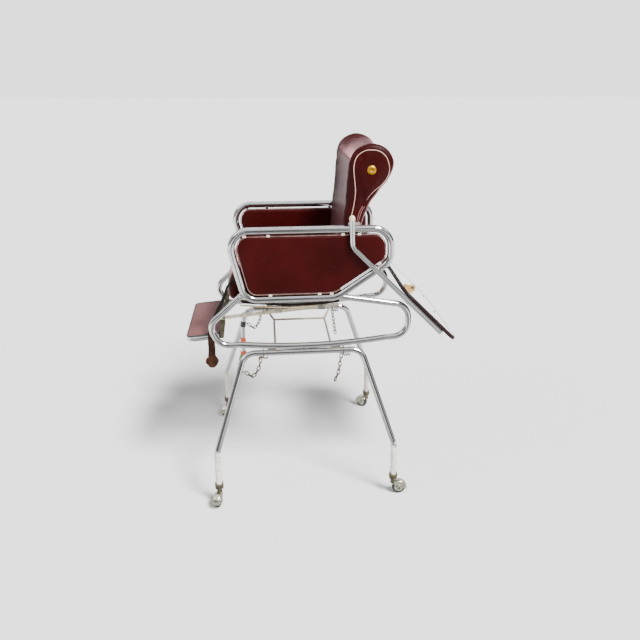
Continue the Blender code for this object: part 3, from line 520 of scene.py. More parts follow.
def close_set(points, closed, reach=0.03):
    """The path with points added so that no two neighbours are further apart than reach."""
    dense = []
    for start, end in zip(points, points[1:] + points[:1] if closed else points[1:]):
        steps = max(1, ceil((end - start).length / reach))
        dense += [start.lerp(end, k / steps) for k in range(steps)]
    return dense if closed else dense + [points[-1]]


def tube(name, points, radius, finish, body="frame", closed=False, sides=20, replaces=(),
         radii=None):
    """Round tube along a path, as a curve with a bevel."""
    if not radii:
        points = close_set(points, closed)
    curve = bpy.data.curves.new(name, "CURVE")
    curve.dimensions = "3D"
    curve.bevel_depth = radius
    curve.bevel_resolution = max(0, (sides - 4) // 2)
    curve.use_fill_caps = True
    spline = curve.splines.new("POLY")
    spline.points.add(len(points) - 1)
    for index, (point, place) in enumerate(zip(spline.points, points)):
        point.co = (*place, 1.0)
        point.radius = radii[index] if radii else 1.0
    spline.use_cyclic_u = closed
    spline.use_smooth = True
    return settle(bpy.data.objects.new(name, curve), body, finish, None, replaces)


def mesh_object(name, shape, smooth=True, sharp=40.0):
    mesh = bpy.data.meshes.new(name)
    shape.to_mesh(mesh)
    shape.free()
    if smooth:
        mesh.shade_smooth()
        mesh.set_sharp_from_angle(angle=radians(sharp))
    return bpy.data.objects.new(name, mesh)


def thicken(thing, thickness, offset):
    modifier = thing.modifiers.new("thickness", "SOLIDIFY")
    modifier.thickness = thickness
    modifier.offset = offset


def bevelled(thing, width):
    modifier = thing.modifiers.new("bevel", "BEVEL")
    modifier.width = width
    modifier.segments = 3
    modifier.limit_method = "ANGLE"
    modifier.angle_limit = radians(40)
    return thing


def skin(shape, rings, around=True, along=False):
    """Quads between neighbouring rings; around closes each ring, along joins the last ring to the first."""
    for a, b in zip(rings, rings[1:] + rings[:1] if along else rings[1:]):
        for k in range(len(a) if around else len(a) - 1):
            n = (k + 1) % len(a)
            shape.faces.new([a[k], a[n], b[n], b[k]])


def lofted(rings, caps=True, around=True, along=False):
    """Mesh through rings of points, with its two end rings filled."""
    shape = bmesh.new()
    rings = [[shape.verts.new(spot) for spot in ring] for ring in rings]
    skin(shape, rings, around, along)
    if caps:
        shape.faces.new(rings[0])
        shape.faces.new(list(reversed(rings[-1])))
    bmesh.ops.recalc_face_normals(shape, faces=shape.faces)
    return shape


def turned_shape(profile, steps=40, arc=2 * pi, start=0.0):
    """Surface turned about local Z from (radius, height) points; a full turn is closed."""
    whole = abs(arc - 2 * pi) < 1e-6
    rings = []
    for k in range(steps if whole else steps + 1):
        angle = start + arc * k / steps
        rings.append([(r * cos(angle), r * sin(angle), height) for r, height in profile])
    shape = lofted(rings, caps=False, around=False, along=whole)
    bmesh.ops.remove_doubles(shape, verts=shape.verts, dist=1e-6)
    bmesh.ops.recalc_face_normals(shape, faces=shape.faces)
    return shape


def turned(name, profile, finish, body, matrix, steps=40, replaces=()):
    made = mesh_object(name, turned_shape(profile, steps), sharp=35.0)
    return settle(made, body, finish, matrix, replaces)


def mirrored(half, *between):
    """A whole profile: half of (radius, height) points, what lies between, and the half below height 0."""
    return [*half, *between] + [(radius, -height) for radius, height in reversed(half)]


def slab(name, outline, thickness, place, finish, body, bevel=0.0006, replaces=()):
    """Closed outline given a thickness, its edges bevelled. place maps (u, v, w) to a point."""
    faces = [[place(u, v, face * thickness / 2) for u, v in outline] for face in (1, -1)]
    made = bevelled(mesh_object(name, lofted(faces), sharp=30.0), bevel)
    return settle(made, body, finish, None, replaces)


def rounded_rectangle(low, high, radius, step=radians(9)):
    corners = [(low[0], low[1]), (high[0], low[1]), (high[0], high[1]), (low[0], high[1])]
    return fillet(corners, [radius] * 4, closed=True, step=step)


def inner_rectangle(low, high, distance, radius, step=radians(9)):
    """A rounded rectangle whose sides lie a distance inside the given one's."""
    return rounded_rectangle((low[0] + distance, low[1] + distance), (high[0] - distance, high[1] - distance),
                             radius, step)


def axis_matrix(place, direction, roll=0.0):
    """Placement that points local Z along a direction."""
    turn = Vector(direction).to_track_quat("Z", "Y").to_matrix().to_4x4()
    return Matrix.Translation(place) @ turn @ Matrix.Rotation(roll, 4, "Z")


def screw_head(name, place, direction, radius, finish, body, height=0.0012):
    """Slotted dome-head screw standing on a surface."""
    profile = [(0.0, height), (radius * 0.55, height * 0.9), (radius * 0.85, height * 0.6),
               (radius, height * 0.15), (radius, -0.0008), (0.0, -0.0008)]
    shape = turned_shape(profile, 20)
    for vert in shape.verts:
        if abs(vert.co.y) < radius * 0.16 and vert.co.z > 0:
            vert.co.z *= 0.35
    settle(mesh_object(name, shape, sharp=30.0), body, finish, axis_matrix(place, direction, 0.5))


# ---------------------------------------------------------------- padded pieces
def puff(thing, voxel, pressure, cap, frames=20):
    """Inflates a closed mesh with a cloth simulation and keeps the result, no further than cap."""
    for other in bpy.context.selected_objects:
        other.select_set(False)
    bpy.context.view_layer.objects.active = linked(thing)
    thing.select_set(True)
    remesh = thing.modifiers.new("remesh", "REMESH")
    remesh.mode = "VOXEL"
    remesh.voxel_size = voxel
    apply_modifiers(thing)
    rest = [v.co.copy() for v in thing.data.vertices]
    cloth = thing.modifiers.new("cloth", "CLOTH")
    cloth.settings.use_pressure = True
    cloth.settings.uniform_pressure_force = pressure
    cloth.settings.effector_weights.gravity = 0.0
    cloth.settings.quality = 6
    cloth.settings.mass = 0.3
    cloth.point_cache.frame_start = 1
    cloth.point_cache.frame_end = frames
    scene = bpy.context.scene
    for number in range(1, frames + 1):
        scene.frame_set(number)
    apply_modifiers(thing)
    scene.frame_set(1)
    for vert, start in zip(thing.data.vertices, rest):
        move = vert.co - start
        if move.length > cap:
            vert.co = start + move * (cap / move.length)
    return thing


def apply_modifiers(thing):
    depsgraph = bpy.context.evaluated_depsgraph_get()
    mesh = bpy.data.meshes.new_from_object(thing.evaluated_get(depsgraph))
    thing.modifiers.clear()
    thing.data = mesh


def relax(thing, factor, repeat):
    shape = bmesh.new()
    shape.from_mesh(thing.data)
    for _ in range(repeat):
        bmesh.ops.smooth_vert(shape, verts=shape.verts, factor=factor, use_axis_x=True, use_axis_y=True,
                              use_axis_z=True)
    shape.to_mesh(thing.data)
    shape.free()


def soften(thing, levels=1):
    modifier = thing.modifiers.new("subdivision", "SUBSURF")
    modifier.levels = modifier.render_levels = levels
    thing.data.shade_smooth()


def surface_of(thing):
    """Search tree of a mesh that is still in the chair frame."""
    shape = bmesh.new()
    shape.from_mesh(thing.data)
    tree = BVHTree.FromBMesh(shape)
    shape.free()
    return tree


def onto(tree, points, side, lift):
    """Lays a curve through side-view points on the surface, looking inwards along X from outside."""
    laid = []
    for y, z, _ in spline_points([(*p, 0) for p in points], 5):
        hit = tree.ray_cast(Vector((side * 0.30, y, z)), Vector((-side, 0, 0)))[0]
        laid.append((hit if hit else Vector((side * 0.23, y, z))) + Vector((side * lift, 0, 0)))
    return laid


BACK_HALF = 0.2270
BACK_WIDEST = 0.2325
BACK_SIDES_X = 0.19               # beyond this a point is on one of the sides
BACK_FRONT_Y = 0.19               # and before this it is on the front
PIPING_WIDEST = 0.2335
VENT_DENT = 0.0030                # how deep a vent pulls the cover in
VENT_DENT_R = 0.018
BACK_ROLL = 0.020                 # rounding between the front of the back and its sides
BACK_BOTTOM_Z = 0.880
HEAD_HOLLOW = 0.026               # how far the middle of the headrest lies behind its side rolls


def back_profile(step_count=36):
    """Closed outline of the back in the side view with each point's share of the hollow."""
    start, end = radians(-8.0), radians(183.0)
    head = []
    for k in range(step_count + 1):
        angle = start + (end - start) * k / step_count
        share = min(1.0, max(0.0, (degrees(angle) - 20.0) / 70.0))
        radius = HEAD_R + 0.003 - 0.00033 * max(0.0, 10.0 - degrees(angle))
        head.append((HEAD_CENTRE[0] + radius * cos(angle), HEAD_CENTRE[1] + radius * sin(angle),
                     share * share * (3 - 2 * share)))
    front = spline_points([(*head[-1][:2], 0), (0.1245, 1.100, 0), (0.1175, 1.030, 0), (0.1125, 0.965, 0),
                           (0.1085, BACK_BOTTOM_Z, 0)], 5)[1:]
    rear = spline_points([(0.1640, BACK_BOTTOM_Z, 0), (0.1680, 0.950, 0), (0.1745, 0.994, 0),
                          (0.1845, 1.028, 0), (0.1930, 1.049, 0), (0.2095, 1.075, 0), (0.2285, 1.099, 0),
                          (0.2465, 1.123, 0), (0.2670, 1.151, 0), (*head[0][:2], 0)], 5)[:-1]
    outline = [(p.x, p.y, 0.0) for p in rear] + head
    for p in front:
        outline.append((p.x, p.y, 0.30 + 0.70 * min(1.0, max(0.0, (p.y - BACK_BOTTOM_Z) / 0.22))))
    return outline


def make_back():
    outline = back_profile()
    count = len(outline)
    normals = []
    for k in range(count):
        ahead = Vector(outline[(k + 1) % count][:2]) - Vector(outline[k - 1][:2])
        normals.append(Vector((-ahead.y, ahead.x)).normalized())
    rings = []
    flat_half = BACK_HALF - BACK_ROLL
    turns = [radians(18 * k) for k in range(6)]
    rolled = [(flat_half + BACK_ROLL * sin(t), BACK_ROLL * (1 - cos(t))) for t in turns]
    stations = [(-x, shrink) for x, shrink in reversed(rolled)]
    stations += [(flat_half * (-1.0 + 2.0 * k / 24), 0.0) for k in range(1, 24)] + rolled
    for x, shrink in stations:
        inward = max(0.0, 1 - (abs(x) / (flat_half + 0.004)) ** 2.6)
        hollow = HEAD_HOLLOW * inward * (1.6 - 0.6 * inward)
        ring = []
        for (y, z, share), normal in zip(outline, normals):
            spot = Vector((y, z)) + normal * (shrink * (0.35 + 0.65 * share) + hollow * share)
            ring.append((x, spot.x, spot.y))
        rings.append(ring)
    back = puff(mesh_object("back_upholstery", lofted(rings), smooth=False), 0.0055, 3.0, 0.0050)
    relax(back, 0.5, 2)
    for vert in back.data.vertices:
        x, y, z = vert.co
        dent = exp(-((y - VENT_CENTRE[0]) ** 2 + (z - VENT_CENTRE[1]) ** 2) / VENT_DENT_R ** 2)
        if abs(x) > BACK_SIDES_X:
            vert.co.x -= copysign(VENT_DENT * dent, x)
            vert.co.x = max(-BACK_WIDEST, min(BACK_WIDEST, vert.co.x))
        if y >= BACK_FRONT_Y:
            continue
        tuck = exp(-((abs(x) - 0.196) / 0.022) ** 2)
        ripple = noise.noise(Vector((x * 16.0, 3.0, z * 34.0)))
        soft = noise.noise(Vector((x * 7.0, y * 7.0, z * 9.0)))
        vert.co.y += 0.0022 * tuck * ripple + 0.0016 * soft
    tree = surface_of(back)
    soften(back)
    settle(back, "back", VINYL_BACK, None, ["back_cushion", "back_board"])
    piping = [(0.1215, 0.905), (0.1265, 0.955), (0.1335, 1.005), (0.1440, 1.045), (0.1515, 1.090),
              (0.1530, 1.120), (0.1495, 1.158), (0.1475, 1.196), (0.1560, 1.226), (0.1815, 1.247),
              (0.2100, 1.251), (0.2370, 1.245), (0.2585, 1.225), (0.2690, 1.191), (0.2650, 1.163),
              (0.2490, 1.138), (0.2230, 1.117), (0.2050, 1.100), (0.1920, 1.081)]
    seams = [[(0.1860, 1.060), (0.1765, 1.046), (0.1680, 1.020), (0.1620, 0.992), (0.1585, 0.960)],
             [(0.1795, 1.062), (0.1705, 1.047), (0.1620, 1.021), (0.1560, 0.992), (0.1520, 0.960)]]
    for side_name, side in SIDES.items():
        laid = onto(tree, piping, side, 0.0006)
        laid = [Vector((side * min(abs(p.x), PIPING_WIDEST), p.y, p.z)) for p in laid]
        thin = [min(1.0, 0.25 + 0.75 * (len(laid) - 1 - k) / 22) for k in range(len(laid))]
        tube(f"back_piping_{side_name}", laid, 0.0013, PIPING_CREAM, "back", sides=10, radii=thin)
        for number, seam in enumerate(seams):
            tube(f"back_seam_{number}_{side_name}", onto(tree, seam, side, 0.0002), 0.0009, THREAD, "back",
                 sides=8)
        make_vent(side_name, side)


def make_vent(side_name, side):
    """Brass upholstery vent: a rolled rim round a dished centre, with dark discs as painted shade of its
    holes.
    """
    matrix = axis_matrix((side * 0.2312, *VENT_CENTRE), (side, 0, 0))
    profile = [(0.0, 0.0022), (0.0048, 0.0022), (0.0060, 0.0030), (0.0068, 0.0044), (0.0080, 0.0048),
               (0.0110, 0.0042), (0.0140, 0.0026), (0.0158, 0.0006), (0.0160, 0.0), (0.0, 0.0)]
    turned(f"back_vent_rim_{side_name}", profile, BRASS, "back", matrix, 36,
           replaces=[f"back_vent_{side_name}"])
    # dark discs on the dished centre: painted shade of the vent's holes, which are not cut
    for k in range(4):
        angle = radians(45 + 90 * k)
        place = matrix @ Vector((0.0026 * cos(angle), 0.0026 * sin(angle), 0.0023))
        turned(f"back_vent_hole_{side_name}_{k}", [(0.0, 0.0002), (0.0010, 0.0002), (0.0010, -0.0004),
                                                   (0.0, -0.0004)], BLACK, "back",
               axis_matrix(place, (side, 0, 0)), 12)


SEAT_HALF = 0.226                 # half the width before it is inflated
SEAT_INNER = 0.220                # beyond this the section shrinks a little
SEAT_WIDEST = 0.2345
SEAT_MIDDLE = (-0.08, 0.80)
SEAT_LEAST_Z = 0.7640             # underside, where it rests on the board
SEAT_SIDE_TOP_Z = 0.84            # above this the top is crowned


def make_seat():
    """Seat cushion: crowned top, front that rolls over and hangs in front of the seat board."""
    outline = fillet([(0.100, 0.767), (0.100, 0.853), (-0.276, 0.853), (-0.300, 0.731), (-0.262, 0.731),
                      (-0.258, 0.767)], [0.010, 0.022, 0.036, 0.008, 0.006, 0.004], closed=True,
                     step=radians(12))
    rings = []
    for x, shrink in ((-SEAT_HALF, 0.985), (-SEAT_INNER, 1.0), (SEAT_INNER, 1.0), (SEAT_HALF, 0.985)):
        rings.append([(x, SEAT_MIDDLE[0] + (y - SEAT_MIDDLE[0]) * shrink,
                       SEAT_MIDDLE[1] + (z - SEAT_MIDDLE[1]) * shrink) for y, z in outline])
    seat = puff(mesh_object("seat_upholstery", lofted(rings), smooth=False), 0.0060, 3.5, 0.010)
    relax(seat, 0.5, 2)
    for vert in seat.data.vertices:
        x, y, z = vert.co
        vert.co.x = max(-SEAT_WIDEST, min(SEAT_WIDEST, x))
        aside = min(1.0, max(0.0, (abs(x) - 0.176) / 0.059))
        round_back = 0.034 * (1.0 - sqrt(1.0 - 0.96 * aside * aside))
        vert.co.y += round_back * min(1.0, max(0.0, (-0.12 - y) / 0.14))
        if y > -0.255 and z < 0.79:
            vert.co.z = max(z, SEAT_LEAST_Z)
        if z > SEAT_SIDE_TOP_Z:
            crown = (1 - (x / 0.235) ** 2) * max(0.0, 1 - ((y + 0.09) / 0.20) ** 2)
            vert.co.z += 0.004 * crown
            vert.co.z += 0.0015 * noise.noise(Vector((x * 9.0, y * 9.0, 1.7)))
    soften(seat)
    settle(seat, "frame", VINYL_SEAT, None, ["seat_cushion"])


def panel_outline(distance, least=0.0, step=radians(9)):
    """Outline that runs a distance inside the middle line of an arm loop's tube."""
    radii = [max(least, r - distance) for r in ARM_RADII]
    radii[2] = ARM_RADII[2] + 0.010
    return fillet(inset(ARM_CORNERS, distance), radii, closed=True, step=step)


def make_side_panel(side_name, side):
    """Padded board inside an arm loop, with its bead and the clips that hold it."""
    x, half = side * LOOP_X, PANEL_THICKNESS / 2
    crown = [(0.0, 0.35), (0.0006, 0.62), (0.0020, 0.82), (0.0050, 0.94), (0.0110, 1.0), (0.0220, 1.06)]
    sections = crown[::-1] + [(distance, -share) for distance, share in crown]
    shape = bmesh.new()
    strip = [[shape.verts.new(spot) for spot in at_x(panel_outline(PANEL_INSET + distance, 0.006),
                                                     x + half * share)]
             for distance, share in sections]
    skin(shape, strip)
    for ring in (strip[0], strip[-1]):
        middle = shape.verts.new(sum((v.co for v in ring), Vector()) / len(ring))
        middle.co.x += copysign(0.0004, middle.co.x - x)
        for a, b in zip(ring, ring[1:] + ring[:1]):
            shape.faces.new([a, b, middle])
    bmesh.ops.recalc_face_normals(shape, faces=shape.faces)
    panel = mesh_object(f"arm_panel_{side_name}", shape)
    panel.data.shade_smooth()
    settle(panel, "frame", VINYL, None, [f"side_panel_{side_name}"])
    bead = panel_outline(PANEL_INSET - 0.0026, step=radians(6))
    for place, out in (("outer", 0.0068), ("inner", -0.0068)):
        tube(f"arm_panel_bead_{place}_{side_name}", at_x(bead, x + side * out), 0.0013, PIPING_PINK, "frame",
             True, 10)
    clips = [(-0.229, 0.9720, 0), (-0.148, 0.9725, 0), (0.108, 0.9725, 0), (0.164, 0.9725, 0),
             (-0.147, 0.7615, 0), (0.025, 0.7615, 0), (0.068, 0.7615, 0), (0.236, 0.8655, 34)]
    for number, (y, z, lean) in enumerate(clips):
        make_clip(f"panel_clip_{side_name}_{number}", side, y, z, lean)


def make_clip(name, side, y, z, lean):
    """Small bright tab between the tube and the panel, with a screw."""
    turn = radians(lean)
    c, s = cos(turn), sin(turn)
    outline = rounded_rectangle((-0.0058, -0.0036), (0.0058, 0.0036), 0.0016, radians(30))
    x = side * (LOOP_X + 0.0085)

    def place(u, v, w):
        return Vector((x + w, y + u * c - v * s, z + u * s + v * c))

    slab(name, outline, 0.0014, place, CLIP, "frame", 0.0003)
    screw_head(f"{name}_screw", (x + side * 0.0007, y, z), (side, 0, 0), 0.0019, STEEL, "frame", 0.0008)


# ---------------------------------------------------------------- tube frames
def rocker_z(y):
    return ROCKER[1] + (y - ROCKER[0]) ** 2 / (2 * ROCKER[2])


def lower_path():
    """Side view of a lower loop: nose, rocker and tail."""
    half, steps = 0.262, 14
    rocker = []
    for k in range(steps + 1):
        y = half * (2 * k / steps - 1)
        rocker.append((y, rocker_z(y)))
    corners = [NOSE_START, *NOSE_CORNERS, *rocker, *TAIL_CORNERS, TAIL_END]
    radii = [0.0, *NOSE_RADII, *[0.0] * len(rocker), *TAIL_RADII, 0.0]
    return fillet(corners, radii)


def weld_bead(name, place, normal, radius, finish, thickness=0.0016):
    """Lumpy ring of weld or braze round a tube where it meets another."""
    ring = []
    matrix = axis_matrix(place, normal)
    for k in range(24):
        angle = 2 * pi * k / 24
        swell = 1.0 + 0.03 * sin(5 * angle) + 0.02 * sin(11 * angle)
        ring.append(matrix @ Vector((radius * swell * cos(angle), radius * swell * sin(angle), 0)))
    tube(name, ring, thickness, finish, "frame", True, 8)


def make_tubes(side_name, side):
    x = side * LOOP_X
    arm = at_x(fillet(ARM_CORNERS, ARM_RADII, closed=True), x)
    tube(f"arm_tube_{side_name}", arm, ARM_TUBE_R, CHROME, "frame", True, 28, [f"arm_loop_{side_name}"])
    tube(f"rocker_tube_{side_name}", at_x(lower_path(), x), LOWER_TUBE_R, CHROME, "frame", False, 26,
         [f"lower_loop_{side_name}"])
    welds = (("front", -0.2515, 0.7587, (0, -0.74, -0.67)), ("rear", 0.1215, 0.7437, (0, 0.99, -0.16)))
    for end, y, z, way in welds:
        weld_bead(f"loop_weld_{end}_{side_name}", (x, y, z), way, LOWER_TUBE_R + 0.0006, STEEL)
    foot = side * FOOT_X
    corners = [(foot, FEET_Y[0], LEG_END_Z), (foot, FEET_Y[0], KNEE_Z), (x, RAIL_ENDS_Y[0], BASE_RAIL_Z),
               (x, RAIL_ENDS_Y[1], BASE_RAIL_Z), (foot, FEET_Y[1], KNEE_Z), (foot, FEET_Y[1], LEG_END_Z)]
    path = fillet(corners, [0.0, 0.060, 0.050, 0.050, 0.060, 0.0])
    tube(f"base_tube_{side_name}", path, LOWER_TUBE_R, CHROME_BASE, "frame", False, 26,
         [f"base_frame_{side_name}"])
    for number, y in enumerate((-0.150, 0.085)):
        gap_z = (BASE_RAIL_Z + rocker_z(y)) / 2
        outline = rounded_rectangle((-0.014, -0.0035), (0.014, 0.0035), 0.002, radians(30))
        slab(f"rocker_weld_{side_name}_{number}", outline, 0.009,
             lambda u, v, w, y=y, gap_z=gap_z: Vector((x + w, y + u, gap_z + v)), STEEL, "frame", 0.0005)


def shelf_point(along, above=0.0):
    c, s = cos(SHELF_SLOPE), sin(SHELF_SLOPE)
    return (SHELF_BEND[0] + along * c - above * s, SHELF_BEND[1] + along * s + above * c)


def make_shelf():
    for side_name, side in SIDES.items():
        x = side * SHELF_X
        top = (x, SHELF_BEND[0] - 0.002, SHELF_TUBE_TOP_Z)
        end = (x, *shelf_point(SHELF_TUBE_LENGTH))
        tube(f"shelf_bent_tube_{side_name}", fillet([top, (x, *SHELF_BEND), end], [0.0, 0.050, 0.0]),
             SHELF_TUBE_R, CHROME, "shelf", False, 24, [f"shelf_tube_{side_name}"])
        cap = [(0.0, 0.0190), (0.0035, 0.0185), (0.0068, 0.0165), (0.0091, 0.0130), (0.0100, 0.0088),
               (0.0100, 0.0014), (0.0094, 0.0004), (0.0, 0.0004)]
        turned(f"shelf_tube_cap_{side_name}", cap, IVORY, "shelf", Matrix.Translation(top), 32,
               [f"shelf_cap_{side_name}"])
        plug = [(0.0, 0.0022), (0.0060, 0.0018), (0.0088, 0.0004), (0.0088, -0.002), (0.0, -0.002)]
        along = (0, cos(SHELF_SLOPE), sin(SHELF_SLOPE))
        turned(f"shelf_tube_plug_{side_name}", plug, BLACK, "shelf", axis_matrix(end, along), 24)
    middle = SHELF_TUBE_R + 0.0003 + SHELF_THICKNESS / 2

    def lie(lift):
        """Places board points, with the board's middle plane raised by lift."""
        return lambda u, v, w: Vector((u, *shelf_point(v, middle + lift + w)))

    low, high = (-SHELF_HALF_WIDTH, SHELF_START), (SHELF_HALF_WIDTH, SHELF_START + SHELF_DEPTH)
    slab("shelf_panel", inner_rectangle(low, high, 0.0032, 0.042), SHELF_THICKNESS - 0.0012, lie(0.0), WHITE,
         "shelf", 0.0012, ["shelf_board"])
    edge = inner_rectangle(low, high, 0.0056, 0.040, radians(6))
    tube("shelf_edge_trim", [lie(-0.0008)(u, v, 0.0) for u, v in edge], 0.0072, EDGING_AND_SHADE, "shelf", True, 16,
         ["shelf_edging"])
    slab("shelf_underside", inner_rectangle(low, high, 0.012, 0.034), 0.0012,
         lie(-SHELF_THICKNESS / 2 + 0.0004), EDGING_AND_SHADE, "shelf", 0.0004)
    normal = (0, -sin(SHELF_SLOPE), cos(SHELF_SLOPE))
    for number, (u, v) in enumerate(((-0.160, 0.480), (0.065, 0.471))):
        place = lie(SHELF_THICKNESS / 2 - 0.0002)(u, v, 0.0)
        screw_head(f"shelf_screw_{number}", place, normal, 0.0062, BLACK, "shelf", 0.0024)
    for side_name, side in SIDES.items():
        for number, v in enumerate((SHELF_START + 0.040, SHELF_START + 0.230)):
            place = (side * SHELF_X, *shelf_point(v, -SHELF_TUBE_R - 0.0002))
            screw_head(f"shelf_tube_screw_{side_name[0]}_{number}", place, -Vector(normal), 0.0036, STEEL,
                       "shelf", 0.0014)
    make_catch(middle + SHELF_THICKNESS / 2)


def make_catch(top):
    """Brass catch: a folded plate on a foot, with a knurled stud through it."""
    x = 0.215
    outline = [(0.252, 0.0), (0.292, 0.0), (0.294, 0.018), (0.286, 0.0285), (0.272, 0.0285),
               (0.262, 0.016), (0.247, 0.012)]
    smooth = fillet(outline, [0.002, 0.002, 0.004, 0.006, 0.006, 0.004, 0.003], True, radians(15))

    def upright(u, v, w):
        return Vector((x + w, *shelf_point(u, top + v)))

    def flat(u, v, w):
        return Vector((u, *shelf_point(v, top + 0.0016 + w)))

    slab("shelf_catch_plate", smooth, 0.0036, upright, BRASS_DULL, "shelf", 0.0008, ["shelf_catch"])
    foot = rounded_rectangle((x - 0.014, 0.254), (x + 0.014, 0.290), 0.003)
    slab("shelf_catch_foot", foot, 0.0026, flat, BRASS_DULL, "shelf", 0.0006)
    stud = mirrored([(0.0, 0.0040), (0.0040, 0.0036), (0.0052, 0.0020)])
    turned("shelf_catch_stud", stud, DARK_STEEL, "shelf",
           axis_matrix((x, *shelf_point(0.279, top + 0.0185)), (1, 0, 0)), 24)


# ---------------------------------------------------------------- footrest
FOOT_LIFT = 0.055
FOOT_FRONT = -0.1403
FOOT_DEPTH = 0.120
FOOT_HALF = 0.195
FOOT_CORNER = 0.0190


def foot_place(x, along, up):
    """Chair-frame point from footrest coordinates: x, along the bars to the rear, and up."""
    c, s = cos(BAR_SLOPE), sin(BAR_SLOPE)
    return Vector((x, BAR_FRONT[0] + along * c - up * s, BAR_FRONT[1] + along * s + up * c))


def foot_ring(distance, height, radius, step=radians(9)):
    """Level outline inside the footrest's edge, at a height above the top of its bead."""
    low, high = (-FOOT_HALF, FOOT_FRONT), (FOOT_HALF, FOOT_FRONT + FOOT_DEPTH)
    outline = inner_rectangle(low, high, distance, radius, step)
    return [foot_place(u, v, height - FOOT_LIFT) for u, v in outline]


def make_footrest():
    """Padded board, bead, chromed band round its edge, plywood core and screws."""
    profile = [(0.0030, -0.0100), (0.0030, -0.0035), (0.0034, -0.0016), (0.0048, -0.0004), (0.0080, 0.0002),
               (0.0200, 0.0004)]
    rings = [foot_ring(inwards, height, max(0.004, FOOT_CORNER - inwards)) for inwards, height in profile]
    board = mesh_object("footrest_pad", lofted(rings), sharp=50.0)
    settle(board, "footrest", VINYL_FOOT_PAINTED_LIGHT, None, ["footrest_board"])
    tube("footrest_bead", foot_ring(0.0016, -0.0008, FOOT_CORNER - 0.0016, radians(6)), 0.0024, BLACK,
         "footrest", True, 10)
    sections = [(0.0000, -0.0030), (-0.0006, -0.0042), (-0.0006, -0.0176), (0.0000, -0.0188),
                (0.0016, -0.0188), (0.0016, -0.0030)]
    rings = [foot_ring(inwards, height, FOOT_CORNER - inwards) for inwards, height in sections]
    band = mesh_object("footrest_band", lofted(rings, caps=False, along=True), sharp=35.0)
    settle(band, "footrest", CHROME, None, ["footrest_edge_band"])
    core = [foot_ring(0.003, height, 0.010) for height in (-0.0106, -0.0178)]
    settle(bevelled(mesh_object("footrest_core", lofted(core), sharp=30.0), 0.0006), "footrest", WOOD)
    screws = [(u, FOOT_FRONT - 0.0007, (0, -1, 0)) for u in (-0.160, -0.080, 0.0, 0.080, 0.160)]
    screws += [(side * (FOOT_HALF + 0.0007), v, (side, 0, 0)) for side in (1, -1)
               for v in (FOOT_FRONT + 0.018, FOOT_FRONT + 0.058, FOOT_FRONT + 0.100)]
    for number, (u, v, way) in enumerate(screws):
        screw_head(f"footrest_screw_{number}", foot_place(u, v, -FOOT_LIFT - 0.0112), way, 0.0030, DARK_STEEL,
                   "footrest", 0.0010)
    for side_name, side in SIDES.items():
        screw_head(f"footrest_bar_screw_{side_name}_0", foot_place(side * (BAR_X + 0.0026), 0.004, 0.0),
                   (side, 0, 0), 0.0040, DARK_STEEL, "footrest", 0.0018)


# ---------------------------------------------------------------- brace and chains
def make_brace():
    """Ring of thin rod between the base frames, with four legs that are welded to the rails."""
    half, front, rear, level = 0.190, -0.135, 0.077, 0.513
    points = [Vector((u, v, level)) for u, v in rounded_rectangle((-half, front), (half, rear), 0.012)]
    tube("brace_ring", points, 0.0042, BRACE_PAINT, "frame", True, 12, ["cross_brace"])
    for side_name, side in SIDES.items():
        for name, y, out in (("front", front, -0.030), ("rear", rear, 0.026)):
            start = Vector((side * (half - 0.001), y, level))
            end = Vector((side * (LOOP_X - LOWER_TUBE_R + 0.001), y + out, BASE_RAIL_Z - 0.0030))
            tube(f"brace_leg_{name}_{side_name}", [start, start.lerp(end, 0.5), end], 0.0044, BRACE_PAINT,
                 "frame", False, 12)
            weld_bead(f"brace_weld_{name}_{side_name}", end - (end - start).normalized() * 0.0015,
                      end - start, 0.0044, BRACE_PAINT, 0.0014)


def link_ends(points, count):
    """Places along a path that lie a link's pitch from each other; past its end the path runs on straight."""
    fine = close_set(points, False, 0.0001)
    last = (points[-1] - points[-2]).normalized()
    fine += [points[-1] + last * 0.0001 * k for k in range(400)]
    ends = [points[0]]
    for place in fine:
        if (place - ends[-1]).length >= LINK_PITCH and len(ends) <= count:
            ends.append(place)
    return ends


def add_ring(shape, centre, turn, length, width, wire, sides=8, steps=5):
    """Adds a stadium-shaped wire ring, long along local Z and flat in local XZ, to a bmesh."""
    half = length / 2 - width / 2
    path = []
    for top, first in ((1, 0.0), (-1, pi)):
        for k in range(steps + 1):
            angle = pi * k / steps + first
            path.append(Vector((cos(angle) * width / 2, 0, sin(angle) * width / 2 + top * half)))
    rings = []
    for index, here in enumerate(path):
        ahead = (path[(index + 1) % len(path)] - path[index - 1]).normalized()
        out = ahead.cross(Vector((0, 1, 0)))
        ring = []
        for k in range(sides):
            angle = 2 * pi * k / sides
            spot = here + out * (wire * cos(angle)) + Vector((0, wire * sin(angle), 0))
            ring.append(shape.verts.new(centre + turn @ spot))
        rings.append(ring)
    skin(shape, rings, along=True)


def link_turn(way, roll):
    return way.to_track_quat("Z", "X").to_matrix() @ Matrix.Rotation(radians(roll), 3, "Z")


def make_chain(name, points, count, body, big_ring=False):
    """Welded links along a path, each turned a quarter from the one before it."""
    shape = bmesh.new()
    ends = link_ends(spline_points(points, 8), count)
    for index, (start, end) in enumerate(zip(ends, ends[1:])):
        add_ring(shape, (start + end) / 2, link_turn(end - start, 35 + 90 * (index % 2)), LINK_LENGTH,
                 LINK_WIDTH, LINK_WIRE_R)
    if big_ring:
        drop = (ends[-1] - ends[-2]).normalized()
        add_ring(shape, ends[-1] + drop * 0.0062, link_turn(drop, 80), *END_RING, steps=8)
    bmesh.ops.recalc_face_normals(shape, faces=shape.faces)
    settle(mesh_object(name, shape), body, CHAIN_STEEL, None, [body])


